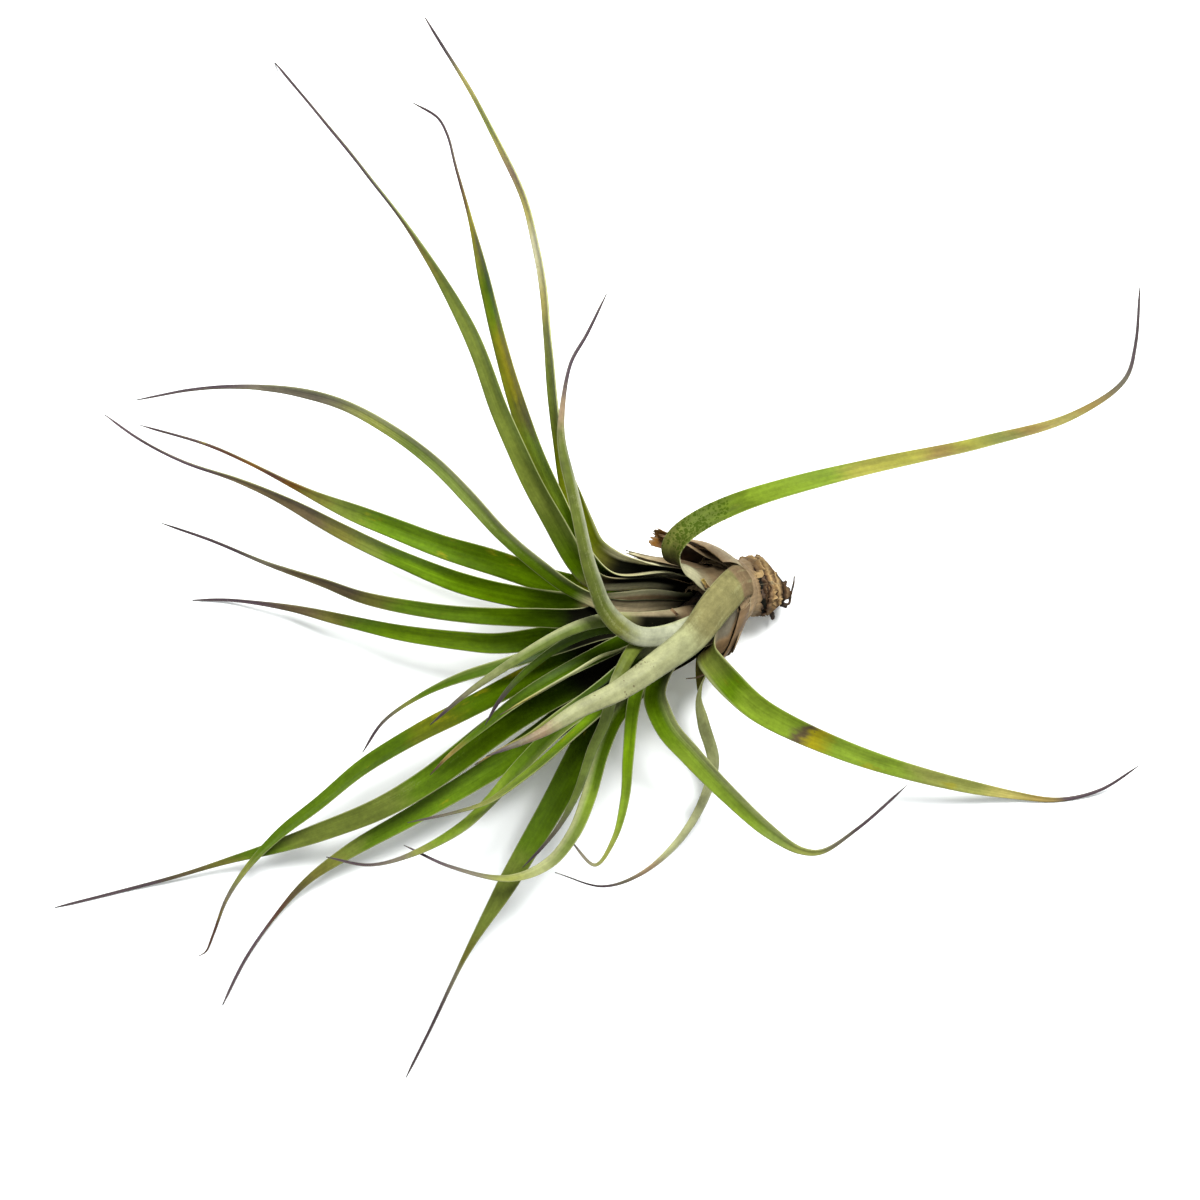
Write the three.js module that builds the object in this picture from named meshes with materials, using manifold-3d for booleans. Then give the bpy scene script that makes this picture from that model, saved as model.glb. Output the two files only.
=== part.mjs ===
// Air plant (tillandsia fasciculata) lying on its side on a flat surface.
// Millimetres, +Z up. The origin is the middle of the flat spot that the cut stump rests on.
import * as THREE from 'three';
import { mergeVertices } from 'three/addons/utils/BufferGeometryUtils.js';
import Module from 'manifold-3d';

// The eye that the courses of the blades are drawn from: straight above the rosette
const EYE = new THREE.Vector3(-66, 0, 1100);

// Stem axis: it rises from the middle of the cut end towards the mouth of the rosette
const CUT_END = new THREE.Vector3(7.2, 4, 8);
const AXIS_HEADING = 192.6; // degrees from +X, seen from above
const AXIS_RISE = 32; // degrees above the table
const AXIS_BOW = 4.5; // towards the +Y side, half-way along the sheaths
const BOW_LENGTH = 44;

// Stem: distance along the axis and radius, with the steps of old leaf scars on the stump
const STEM_PROFILE = [
  [0, 7.5], [0.7, 10.2], [2.4, 11.6], [2.9, 11.1], [5, 12], [5.5, 11.3], [8.6, 11.9],
  [9.2, 11.2], [12.4, 11.8], [13, 11], [16.4, 11.5], [17, 10.8], [22, 10.4],
  [28, 8.8], [34, 7.4], [42, 5.4], [50, 3.2], [57, 1.4], [60, 0.8],
];
const STEM_TIP = 61;
const STEM_SIDES = 20;
// Upright slanting trims of the cut end: heading from +X in degrees, and reach from the origin
const CUTS = [[39, 7.6], [-48, 4.4]];
const ROOT_RADIUS = 0.6;

// Sheaths: cups in cups, the oldest outside
const FIRST_SHEATH = 22; // where the outermost sheaths leave the stem
const LEVEL_STEP = 2.6; // each level inwards starts this much further up the stem
const STEM_GAP = 0.35;
const OUTER_RADIUS = 28; // of the outermost cup at its mouth
const LEVEL_PITCH = 1.9; // each level inwards has its mouth this much nearer the axis
const FLARE_LENGTH = 24;
const FLARE_POWER = 1.4;
const SHEATH_HALF_ANGLE = 0.48; // radians round the axis
const SHEATH_WIDTH = 17; // widest a green sheath grows
const SHEATH_RATIO = 1.6; // to its own blade's width, at most
const HUSK_HALF_ANGLE = 0.75;
const HUSK_WIDTH = 30;

// Leaf blade
const THICKNESS = 0.9; // along the midrib
const MARGIN_THICKNESS = 0.65;
const CHANNEL_HALF_ANGLE = 0.6; // radians, of the arc that the blade is bent to
const TIP_WIDTH = 1.3;
const TAPER_POWER = 0.85;
const NECK = 32; // length over which a sheath becomes a blade
const SAMPLES = 240; // along a course, to carry the blade's face along it
const BEND_WEIGHT = 22; // a radian of bend draws as many steps as this length
const FEWEST_STEPS = 7;
const STEP_LENGTH = 23;
const ACROSS = 4;

const MATERIALS = {
  leaf: { color: 0x587a1e, roughness: 0.6, metalness: 0 },
  pale: { color: 0xa8b183, roughness: 0.7, metalness: 0 },
  dry: { color: 0x7d6955, roughness: 0.85, metalness: 0 },
  stem: { color: 0x6b5139, roughness: 0.9, metalness: 0 },
};

// Leaves: level counts inwards from the outermost cup, turn is the place round the axis
// (0 faces the eye, 90 is the +Y side), leave is where the blade leaves the cups, width is
// the blade's, facing is how far the blade rolls its upper face to the eye (its back, below
// zero), hold is how long past the neck it keeps that roll, sheath is the sheath's own width, and
// the course gives the midrib as the eye sees it on the table, with its height.
const LEAVES = {
  leaf_01: { level: 4, turn: 86, leave: 50, width: 12, facing: 0.7, hold: 40, course: [
    [-50, 14, 37], [-60, 15.8, 39], [-68, 21, 42], [-73, 31, 44], [-77.2, 44, 46], [-82, 64, 50],
    [-86, 102, 55], [-88, 124, 54], [-91.5, 142.3, 51], [-96, 160.5, 46], [-105.3, 180.3, 40],
    [-115, 199, 33], [-124, 214, 27], [-136, 233, 18]] },
  leaf_02: { level: 6, turn: 104, leave: 57, width: 12, facing: 0.15, course: [
    [-67, 8.5, 47.5], [-74, 15, 53], [-84, 32, 60], [-93.3, 49, 64], [-104.7, 74, 66],
    [-118.2, 108.5, 63], [-140.3, 145.3, 51], [-159, 170, 38], [-176, 191, 23], [-196, 215, 0.4]] },
  leaf_03: { level: 5, turn: 100, leave: 54, width: 12, course: [
    [-62.5, 10.5, 43.5], [-73.3, 21.8, 49], [-80.8, 37, 53.5], [-92.3, 62.3, 56],
    [-105.2, 102.3, 56], [-111.2, 127.3, 53], [-117.4, 151.2, 48], [-123.5, 173, 42],
    [-127, 186, 39], [-131, 193, 37], [-141, 199, 34]] },
  leaf_04: { level: 3, turn: 344, leave: 52, width: 9, course: [
    [-47, -15, 63], [-57, -10.5, 73], [-63.5, -3, 82], [-67, 6, 89], [-70.5, 17, 95],
    [-76.5, 44, 101], [-81, 64, 103], [-81.2, 74, 102], [-77.8, 94.3, 97], [-71.3, 106.3, 93],
    [-63.3, 122.6, 86]] },
  leaf_05: { level: 9, turn: 146, leave: 62, width: 8, facing: -0.15, course: [
    [-61, -2, 42], [-76, 4, 48], [-90, 14, 52], [-104.5, 26.5, 55], [-118, 41.2, 56],
    [-132, 55.2, 55], [-148, 67.2, 51], [-168, 78.2, 44], [-186, 83.2, 37], [-208, 85.2, 29],
    [-230, 84, 21], [-252, 80, 14]] },
  leaf_06: { level: 7, turn: 142, leave: 58, width: 13, course: [
    [-66, -1, 31], [-92, 1, 37], [-122, 7.8, 42], [-145, 16.8, 41], [-168, 27.3, 35],
    [-190, 39, 27], [-211, 48, 19], [-232, 55, 12], [-249, 63.5, 8], [-264, 74, 5]] },
  leaf_07: { level: 2, turn: 150, leave: 44, width: 13.5, course: [
    [-66, 4, 24], [-84, 7.5, 28], [-107, 15.2, 31], [-130, 22.2, 31], [-153, 31, 28],
    [-176, 40, 21], [-188, 45.6, 18], [-208, 55.6, 13], [-223, 62, 10], [-250, 70, 6]] },
  leaf_08: { level: 8, turn: 166, leave: 60, width: 9.5, course: [
    [-61, -4, 35], [-74, -7, 41], [-92, -6.8, 44], [-115, -6, 43], [-134, -4, 38], [-160, 1, 29],
    [-176, 6.8, 22], [-199, 14.5, 14], [-222, 24, 8], [-242, 31, 5]] },
  leaf_09: { level: 4, turn: 172, leave: 48, width: 12, course: [
    [-62, -10, 22], [-84, -14, 26], [-106, -17, 27], [-122, -16, 25], [-145, -13, 20],
    [-168, -8, 13], [-191, -3, 7], [-214, 0, 2], [-229, 0, 0.4]] },
  leaf_10: { level: 10, turn: 184, leave: 62, width: 7.5, course: [
    [-66, -13, 41], [-82, -18.5, 49], [-102, -25, 53], [-121.7, -31, 52], [-137.6, -38.2, 48],
    [-152.6, -48.6, 42], [-161, -61, 36]] },
  leaf_11: { level: 8, turn: 349, leave: 60, width: 7, facing: -0.4, course: [
    [-50, -8, 61], [-64, -8, 69], [-78, -12, 75], [-98, -23, 78], [-120, -38, 75],
    [-134, -50, 70]] },
  leaf_12: { level: 10, turn: 328, leave: 62, width: 6, facing: -0.4, course: [
    [-54, -11, 57], [-66, -12, 62], [-81, -18, 66], [-97, -30, 67], [-106, -40, 65],
    [-112, -50, 62]] },
  leaf_13: { level: 11, turn: 215, leave: 63, width: 9, course: [
    [-66, -22, 46], [-82, -30, 51], [-97, -39, 52], [-114, -52, 49], [-126, -62, 45],
    [-134, -70, 42]] },
  leaf_14: { level: 9, turn: 210, leave: 60, width: 12, course: [
    [-66, -19, 38], [-86.5, -27.5, 42], [-120, -44.4, 42], [-138.8, -53.9, 38], [-159.6, -66.5, 32],
    [-177.4, -80.8, 25], [-194.5, -94.2, 19], [-207.2, -107.4, 14], [-215.5, -120, 11],
    [-220.7, -134, 8], [-223.5, -140.5, 7], [-226.5, -142.5, 7]] },
  leaf_15: { level: 6, turn: 195, leave: 56, width: 15, course: [
    [-66, -26, 30], [-99.5, -46, 34], [-134.5, -72, 31], [-153.4, -83, 26], [-176.4, -92.2, 18],
    [-196, -98.8, 12], [-214, -104, 7.5], [-237, -111, 3], [-260, -117, 0.4], [-284, -123, 0.4]] },
  leaf_16: { level: 3, turn: 206, leave: 46, width: 14, course: [
    [-58, -29, 21], [-82, -49, 25], [-107, -66.3, 25], [-137.5, -84.6, 20], [-167, -101.2, 12],
    [-183, -112.4, 8], [-194.8, -125, 5], [-207.2, -142.6, 3], [-217, -162, 2]] },
  leaf_17: { level: 7, turn: 230, leave: 58, width: 10.5, course: [
    [-55, -28, 36], [-66, -39, 41], [-82, -51.5, 45], [-99.5, -69, 44], [-109.4, -80.2, 42],
    [-121.4, -91.2, 39], [-140.8, -101.6, 34], [-158, -106, 30], [-175.5, -102.8, 26]] },
  leaf_18: { level: 8, turn: 250, leave: 60, width: 9, course: [
    [-50, -27, 41], [-62, -41, 48], [-83, -60, 54], [-97, -71.4, 53], [-110, -80.5, 50],
    [-126, -85.5, 46], [-143, -89, 43]] },
  leaf_19: { level: 6, turn: 252, leave: 52, width: 10, facing: 0.5, course: [
    [-49, -35, 34], [-59, -46, 38], [-65, -60, 41], [-70.3, -79, 38], [-76.4, -93.6, 36],
    [-86.4, -105.4, 34], [-102, -111.4, 33], [-126, -106.6, 31], [-144.5, -98, 30]] },
  leaf_20: { level: 4, turn: 243, leave: 50, width: 15.5, facing: 0.7, course: [
    [-49.5, -31, 27], [-62, -42.5, 29], [-73.5, -62, 31], [-85.5, -84, 29], [-104, -115.5, 22],
    [-119.8, -142.3, 12], [-134.2, -172.3, 3], [-143.6, -191, 0.6]] },
  leaf_21: { level: 10, turn: 266, leave: 61, width: 7, facing: 0.7, course: [
    [-47, -26, 46], [-52, -40, 52], [-54.5, -62, 47], [-56, -80, 38], [-60.5, -96, 32],
    [-68, -106, 29], [-78, -96, 29]] },
  leaf_22: { level: 2, turn: 262, leave: 40, width: 9, facing: -0.6, course: [
    [-26, -38, 26], [-24, -49, 22], [-20, -65, 17], [-24, -80, 14], [-34.5, -97, 12],
    [-50, -110, 11], [-65, -114.6, 12], [-84, -109, 15]] },
  leaf_23: { level: 5, turn: 296, leave: 54, width: 11.5, facing: 0.9, course: [
    [-39, -29, 50], [-43.3, -38, 49], [-39.2, -50.6, 45], [-29.5, -62, 38], [-14.2, -78, 28],
    [1.2, -92, 19], [14, -100, 14], [22.6, -100.6, 13], [37.5, -91, 16], [57, -74, 22]] },
  leaf_24: { level: 2, turn: 323, leave: 44, width: 12.5, facing: 0.9, course: [
    [-19.5, -17, 50.5], [-22, -19.5, 54.5], [-22, -22.5, 57.5], [-19.3, -26.5, 58.8],
    [-11.5, -35.8, 54.5], [0, -45.2, 47], [31.6, -60, 31], [66.6, -71, 15], [99, -77.8, 3],
    [118, -79.8, 0.4], [134, -76, 3], [150, -66, 8]] },
  leaf_25: { level: 2, turn: 28, leave: 51, width: 11.5, facing: 0.4, sheath: 12.5, course: [
    [-30, 12, 60], [-34, 13.8, 65], [-36.2, 16.8, 69.5], [-36.4, 20.8, 73], [-33.4, 25.5, 75.5],
    [-26, 31, 76.5], [-14, 36.8, 76], [3, 42.8, 73], [41, 52.7, 61], [87, 62.8, 42], [124, 74, 24],
    [144, 88.3, 14], [148.2, 102, 10], [150, 126, 8]] },
  leaf_26: { level: 0, turn: 12, leave: 34, width: 16, facing: -0.8, sheath: 13, course: [
    [-14.5, 2.5, 55], [-20, -3.5, 63], [-29.5, -15.5, 71], [-42, -25, 78], [-58, -36, 85],
    [-74, -43.8, 91], [-91, -54, 97], [-111.5, -62.6, 101]] },
  leaf_27: { level: 4, turn: 330, leave: 54, width: 7, facing: -0.5, course: [
    [-48, -16, 59], [-58, -30, 66], [-64, -49, 65], [-69, -60, 61], [-75, -77, 53],
    [-82, -90, 46], [-90, -100, 41], [-97, -107, 37]] },
  leaf_28: { level: 7, turn: 309, leave: 58, width: 7, course: [
    [-48, -21, 53], [-66, -34, 58], [-80, -44, 61], [-94, -54, 62], [-106, -60, 62],
    [-116, -66, 61]] },
  leaf_29: { level: 12, turn: 250, leave: 64, width: 4, facing: -0.4, course: [
    [-58, -20, 50], [-66, -23, 56], [-78, -30, 61], [-92, -38, 62], [-106, -46, 60]] },
};
const HUSKS = {
  cut_leaf: { level: 1, turn: 80, leave: 41, width: 8, course: [[-35, 24, 36], [-43.5, 26.5, 38]] },
  husk_under: { level: 0, turn: 180, leave: 40, width: 22, course: [] },
  husk_side: { level: 0, turn: 268, leave: 36, width: 24, course: [] },
  torn_sheath: { level: 3, turn: 82, leave: 48, width: 9, course: [[-47, 17.5, 32], [-56, 19.8, 32]] },
};

const radians = THREE.MathUtils.degToRad;
const { lerp, smoothstep } = THREE.MathUtils;

const axis = new THREE.Vector3(
  Math.cos(radians(AXIS_RISE)) * Math.cos(radians(AXIS_HEADING)),
  Math.cos(radians(AXIS_RISE)) * Math.sin(radians(AXIS_HEADING)),
  Math.sin(radians(AXIS_RISE)),
);
const faceUp = new THREE.Vector3(0, 0, 1).projectOnPlane(axis).normalize();
const faceSide = new THREE.Vector3().crossVectors(axis, faceUp);

// Direction that points out of the axis at a place round it
function outward(turn) {
  return faceUp.clone().multiplyScalar(Math.cos(radians(turn)))
    .addScaledVector(faceSide, Math.sin(radians(turn)));
}

// Sideways shift of the axis, which is bowed between the cut end and the mouth
function bow(along) {
  return AXIS_BOW * Math.sin(Math.PI * Math.min(Math.max(along / BOW_LENGTH, 0), 1));
}

function onAxis(along) {
  return CUT_END.clone().addScaledVector(axis, along).addScaledVector(faceSide, bow(along));
}

function stemRadius(along) {
  const next = STEM_PROFILE.findIndex(([at]) => at >= along);
  const [a, ra] = STEM_PROFILE[next - 1];
  const [b, rb] = STEM_PROFILE[next];
  return lerp(ra, rb, (along - a) / (b - a));
}

const sheathStart = (level) => FIRST_SHEATH + LEVEL_STEP * level;

// Radius of a level's cup: it leaves the stem and flares to its mouth
function cupRadius(level, along) {
  const start = sheathStart(level);
  const foot = stemRadius(start) + STEM_GAP + THICKNESS / 2;
  const mouth = OUTER_RADIUS - LEVEL_PITCH * level;
  const open = Math.min((along - start) / FLARE_LENGTH, 1);
  return lerp(foot, mouth, 1 - (1 - open) ** FLARE_POWER);
}

function sheathPoint(leaf, along) {
  return onAxis(along).addScaledVector(outward(leaf.turn), cupRadius(leaf.level, along));
}

// A point that the eye sees at x, y on the table and that is this high above it
function seenAt([x, y, height]) {
  const shrink = 1 - height / EYE.z;
  return new THREE.Vector3(lerp(EYE.x, x, shrink), lerp(EYE.y, y, shrink), height);
}

// Rolls a blade past its neck, so that its upper face (or its back, below zero) meets the eye
function rollToEye({ tangent, face, length }, { facing = 0, hold }, neck) {
  const eyeward = new THREE.Vector3(0, 0, Math.sign(facing) || 1).projectOnPlane(tangent);
  const side = new THREE.Vector3().crossVectors(tangent, face);
  const roll = Math.atan2(eyeward.dot(side), eyeward.dot(face));
  const rolled = smoothstep(length, neck, neck + NECK);
  const unrolled = hold ? smoothstep(length, neck + hold, neck + 2 * hold) : 0;
  face.applyAxisAngle(tangent, roll * Math.abs(facing) * (rolled - unrolled));
}

// Midrib with the direction of the blade's upper face carried along it
function traceMidrib(leaf) {
  const start = sheathStart(leaf.level);
  const sheath = [0, 0.3, 0.65, 1].map((part) => sheathPoint(leaf, lerp(start, leaf.leave, part)));
  const curve = new THREE.CatmullRomCurve3([...sheath, ...leaf.course.map(seenAt)]);
  const sheathSamples = SAMPLES * (sheath.length - 1) / (curve.points.length - 1);
  const samples = [];
  let face = outward(leaf.turn).negate();
  for (let i = 0; i <= SAMPLES; i += 1) {
    const point = curve.getPoint(i / SAMPLES);
    const tangent = curve.getTangent(i / SAMPLES);
    face = face.projectOnPlane(tangent).normalize();
    const last = samples[i - 1];
    const length = last ? last.length + point.distanceTo(last.point) : 0;
    const bend = last ? tangent.angleTo(last.tangent) : 0;
    const effort = last ? last.effort + length - last.length + BEND_WEIGHT * bend : 0;
    samples.push({ point, tangent, face: face.clone(), length, effort });
  }
  const total = samples[SAMPLES].length;
  const neck = samples[Math.round(sheathSamples)].length;
  for (const sample of samples) rollToEye(sample, leaf, neck);
  return { samples, total, neck };
}

// Steps along the midrib, closer together where it bends
function stepsAlong(samples) {
  const full = samples[samples.length - 1].effort;
  const count = FEWEST_STEPS + Math.round(full / STEP_LENGTH);
  return Array.from({ length: count + 1 }, (_, i) => {
    const wanted = full * i / count;
    return samples.find((sample) => sample.effort >= wanted - 1e-9);
  });
}

// Width and bend across the leaf at one step
function sectionAt(leaf, step, neck, total, husk) {
  const along = step.point.clone().sub(CUT_END).dot(axis);
  const reach = Math.min(Math.max(along, sheathStart(leaf.level)), leaf.leave);
  const cup = cupRadius(leaf.level, reach);
  const halfAngle = husk ? HUSK_HALF_ANGLE : SHEATH_HALF_ANGLE;
  const widest = husk ? HUSK_WIDTH : leaf.sheath ?? Math.min(SHEATH_WIDTH, SHEATH_RATIO * leaf.width);
  const sheathWidth = Math.min(2 * halfAngle * cup, widest);
  const past = Math.max(step.length - neck, 0) / (total - neck || 1);
  const bladeWidth = husk ? leaf.width
    : lerp(TIP_WIDTH, leaf.width, Math.max(1 - past, 0) ** TAPER_POWER);
  const blade = smoothstep(step.length, neck - NECK / 3, neck + NECK * 2 / 3);
  const width = lerp(sheathWidth, bladeWidth, blade);
  const curvature = lerp(1 / cup, 2 * CHANNEL_HALF_ANGLE / width, blade);
  return { width, curvature };
}

// Closed body of one leaf: its two faces, its margins and both ends
function leafGeometry(leaf, husk = false) {
  const { samples, total, neck } = traceMidrib(leaf);
  const positions = [];
  const steps = stepsAlong(samples);
  for (const step of steps) {
    const { width, curvature } = sectionAt(leaf, step, neck, total, husk);
    const radius = 1 / curvature;
    const side = new THREE.Vector3().crossVectors(step.tangent, step.face);
    const lay = (part, sign) => {
      const angle = part * width * curvature / 2;
      const half = sign * lerp(THICKNESS, MARGIN_THICKNESS, part * part) / 2;
      const point = step.point.clone()
        .addScaledVector(step.face, radius - (radius - half) * Math.cos(angle))
        .addScaledVector(side, (radius - half) * Math.sin(angle));
      positions.push(point.x, point.y, Math.max(point.z, 0));
    };
    for (let i = 0; i <= ACROSS; i += 1) lay(2 * i / ACROSS - 1, 1);
    for (let i = ACROSS; i >= 0; i -= 1) lay(2 * i / ACROSS - 1, -1);
  }
  const ring = 2 * (ACROSS + 1);
  const index = [];
  const quad = (a, b, c, d) => index.push(a, b, c, a, c, d);
  for (let s = 0; s < steps.length - 1; s += 1) {
    for (let i = 0; i < ring; i += 1) {
      const j = (i + 1) % ring;
      quad(s * ring + i, s * ring + j, (s + 1) * ring + j, (s + 1) * ring + i);
    }
  }
  const end = (steps.length - 1) * ring;
  for (let i = 0; i < ACROSS; i += 1) {
    quad(i + 1, i, ring - 1 - i, ring - 2 - i);
    quad(end + i, end + i + 1, end + ring - 2 - i, end + ring - 1 - i);
  }
  const geometry = new THREE.BufferGeometry();
  geometry.setAttribute('position', new THREE.Float32BufferAttribute(positions, 3));
  geometry.setIndex(index);
  return geometry;
}

const wasm = await Module();
wasm.setup();

function toSolid(geometry) {
  const bare = geometry.clone();
  bare.deleteAttribute('normal');
  bare.deleteAttribute('uv');
  const merged = mergeVertices(bare, 1e-4);
  return new wasm.Manifold(new wasm.Mesh({
    numProp: 3,
    vertProperties: new Float32Array(merged.attributes.position.array),
    triVerts: new Uint32Array(merged.index.array),
  }));
}

function toGeometry(solid) {
  const mesh = solid.getMesh();
  const geometry = new THREE.BufferGeometry();
  geometry.setAttribute('position', new THREE.Float32BufferAttribute(mesh.vertProperties, 3));
  geometry.setIndex(Array.from(mesh.triVerts));
  return geometry;
}

// Stem and stump in one piece, with a dry root, ground flat where it rests on the table
function stemGeometry() {
  const profile = [[0, 0], ...STEM_PROFILE, [STEM_TIP, 0]]
    .map(([along, radius]) => new THREE.Vector2(radius, along));
  const turned = new THREE.LatheGeometry(profile, STEM_SIDES);
  const places = turned.attributes.position;
  turned.applyQuaternion(new THREE.Quaternion().setFromUnitVectors(new THREE.Vector3(0, 1, 0), axis));
  turned.translate(CUT_END.x, CUT_END.y, CUT_END.z);
  for (let i = 0; i < places.count; i += 1) {
    const point = new THREE.Vector3().fromBufferAttribute(places, i);
    point.addScaledVector(faceSide, bow(point.clone().sub(CUT_END).dot(axis)));
    places.setXYZ(i, point.x, point.y, point.z);
  }
  const rootCurve = new THREE.CatmullRomCurve3([
    new THREE.Vector3(4, -1, 15), new THREE.Vector3(8.5, -1.5, 16), new THREE.Vector3(9, 2, 18),
    new THREE.Vector3(10, 6, 19)]);
  const rootSection = new THREE.Shape().absarc(0, 0, ROOT_RADIUS, 0, 2 * Math.PI);
  const root = new THREE.ExtrudeGeometry(rootSection,
    { extrudePath: rootCurve, steps: 8, curveSegments: 6, bevelEnabled: false });
  const block = new THREE.BoxGeometry(80, 80, 80);
  const table = block.clone().translate(0, 0, -40);
  const trims = CUTS.map(([heading, reach]) => toSolid(
    block.clone().translate(40 + reach, 0, 0).rotateZ(radians(heading))));
  const stump = trims.reduce((solid, trim) => solid.subtract(trim), toSolid(turned));
  return toGeometry(stump.add(toSolid(root)).subtract(toSolid(table)));
}

const plant = new THREE.Group();

function addPiece(name, geometry, look) {
  geometry.computeVertexNormals();
  const mesh = new THREE.Mesh(geometry, new THREE.MeshStandardMaterial(look));
  mesh.name = name;
  plant.add(mesh);
}

const PALE_LEAVES = ['leaf_04', 'leaf_11', 'leaf_22', 'leaf_26', 'leaf_27', 'leaf_29'];
addPiece('stem', stemGeometry(), MATERIALS.stem);
for (const [name, husk] of Object.entries(HUSKS)) {
  addPiece(name, leafGeometry(husk, true), MATERIALS.dry);
}
for (const [name, leaf] of Object.entries(LEAVES)) {
  addPiece(name, leafGeometry(leaf), PALE_LEAVES.includes(name) ? MATERIALS.pale : MATERIALS.leaf);
}

export default plant;
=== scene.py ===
# Air plant (tillandsia fasciculata) lying on its side: its leaves, husks and stump, and the stage.
# Metres, +Z up. The origin is the middle of the flat spot that the cut stump rests on.
import math
from bisect import bisect_right

import bmesh
import bpy
from bpy.props import FloatProperty, FloatVectorProperty, IntProperty, PointerProperty
from mathutils import Matrix, Vector, noise


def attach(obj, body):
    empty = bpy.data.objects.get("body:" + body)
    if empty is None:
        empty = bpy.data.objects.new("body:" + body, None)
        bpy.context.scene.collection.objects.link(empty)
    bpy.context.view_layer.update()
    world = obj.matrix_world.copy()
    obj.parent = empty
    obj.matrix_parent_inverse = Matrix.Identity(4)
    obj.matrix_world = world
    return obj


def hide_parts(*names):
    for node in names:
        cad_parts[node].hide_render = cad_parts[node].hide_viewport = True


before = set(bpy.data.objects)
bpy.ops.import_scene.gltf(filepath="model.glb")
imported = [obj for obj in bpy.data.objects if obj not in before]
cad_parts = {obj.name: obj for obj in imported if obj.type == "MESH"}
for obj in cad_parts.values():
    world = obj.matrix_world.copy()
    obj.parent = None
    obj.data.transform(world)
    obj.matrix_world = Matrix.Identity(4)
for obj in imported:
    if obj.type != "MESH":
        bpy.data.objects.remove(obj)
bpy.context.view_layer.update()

bl_info = {
    "name": "Air plant",
    "version": (1, 0, 0),
    "blender": (4, 5, 0),
    "location": "View3D > Sidebar > Air plant",
    "description": "Grows an air plant that lies on its side on a pale floor",
    "category": "Add Mesh",
}

MM = 0.001

# The eye that the courses of the blades are drawn from, straight above the rosette
EYE = Vector((-66, 0, 1100)) * MM

# Stem axis: it rises from the middle of the cut end towards the mouth of the rosette
CUT_END = Vector((7.2, 4, 8)) * MM
AXIS_HEADING = math.radians(192.6)
AXIS_RISE = math.radians(32)
AXIS_BOW = 4.5 * MM
BOW_LENGTH = 44 * MM

# Stem: distance along the axis and radius in millimetres
STEM_PROFILE = [
    (0, 7.5), (0.7, 10.2), (2.4, 11.6), (2.9, 11.1), (5, 12), (5.5, 11.3), (8.6, 11.9),
    (9.2, 11.2), (12.4, 11.8), (13, 11), (16.4, 11.5), (17, 10.8), (22, 10.4),
    (28, 8.8), (34, 7.4), (42, 5.4), (50, 3.2), (57, 1.4), (60, 0.8),
]
STEM_TIP = 61 * MM
# Upright slanting trims of the cut end: heading in degrees, and reach in millimetres
CUTS = [(39, 7.6), (-48, 4.4)]

# Sheaths: cups in cups, the oldest outside
FIRST_SHEATH = 22 * MM
LEVEL_STEP = 2.6 * MM
STEM_GAP = 0.35 * MM
OUTER_RADIUS = 28 * MM
LEVEL_PITCH = 1.9 * MM
FLARE_LENGTH = 24 * MM
FLARE_POWER = 1.4
SHEATH_HALF_ANGLE = 0.48
SHEATH_WIDTH = 17 * MM
SHEATH_RATIO = 1.6
HUSK_HALF_ANGLE = 0.75
HUSK_WIDTH = 30 * MM

# Midribs
TAPER_POWER = 0.85
NECK = 32 * MM
SAMPLES = 480
BEND_WEIGHT = 22 * MM

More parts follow.
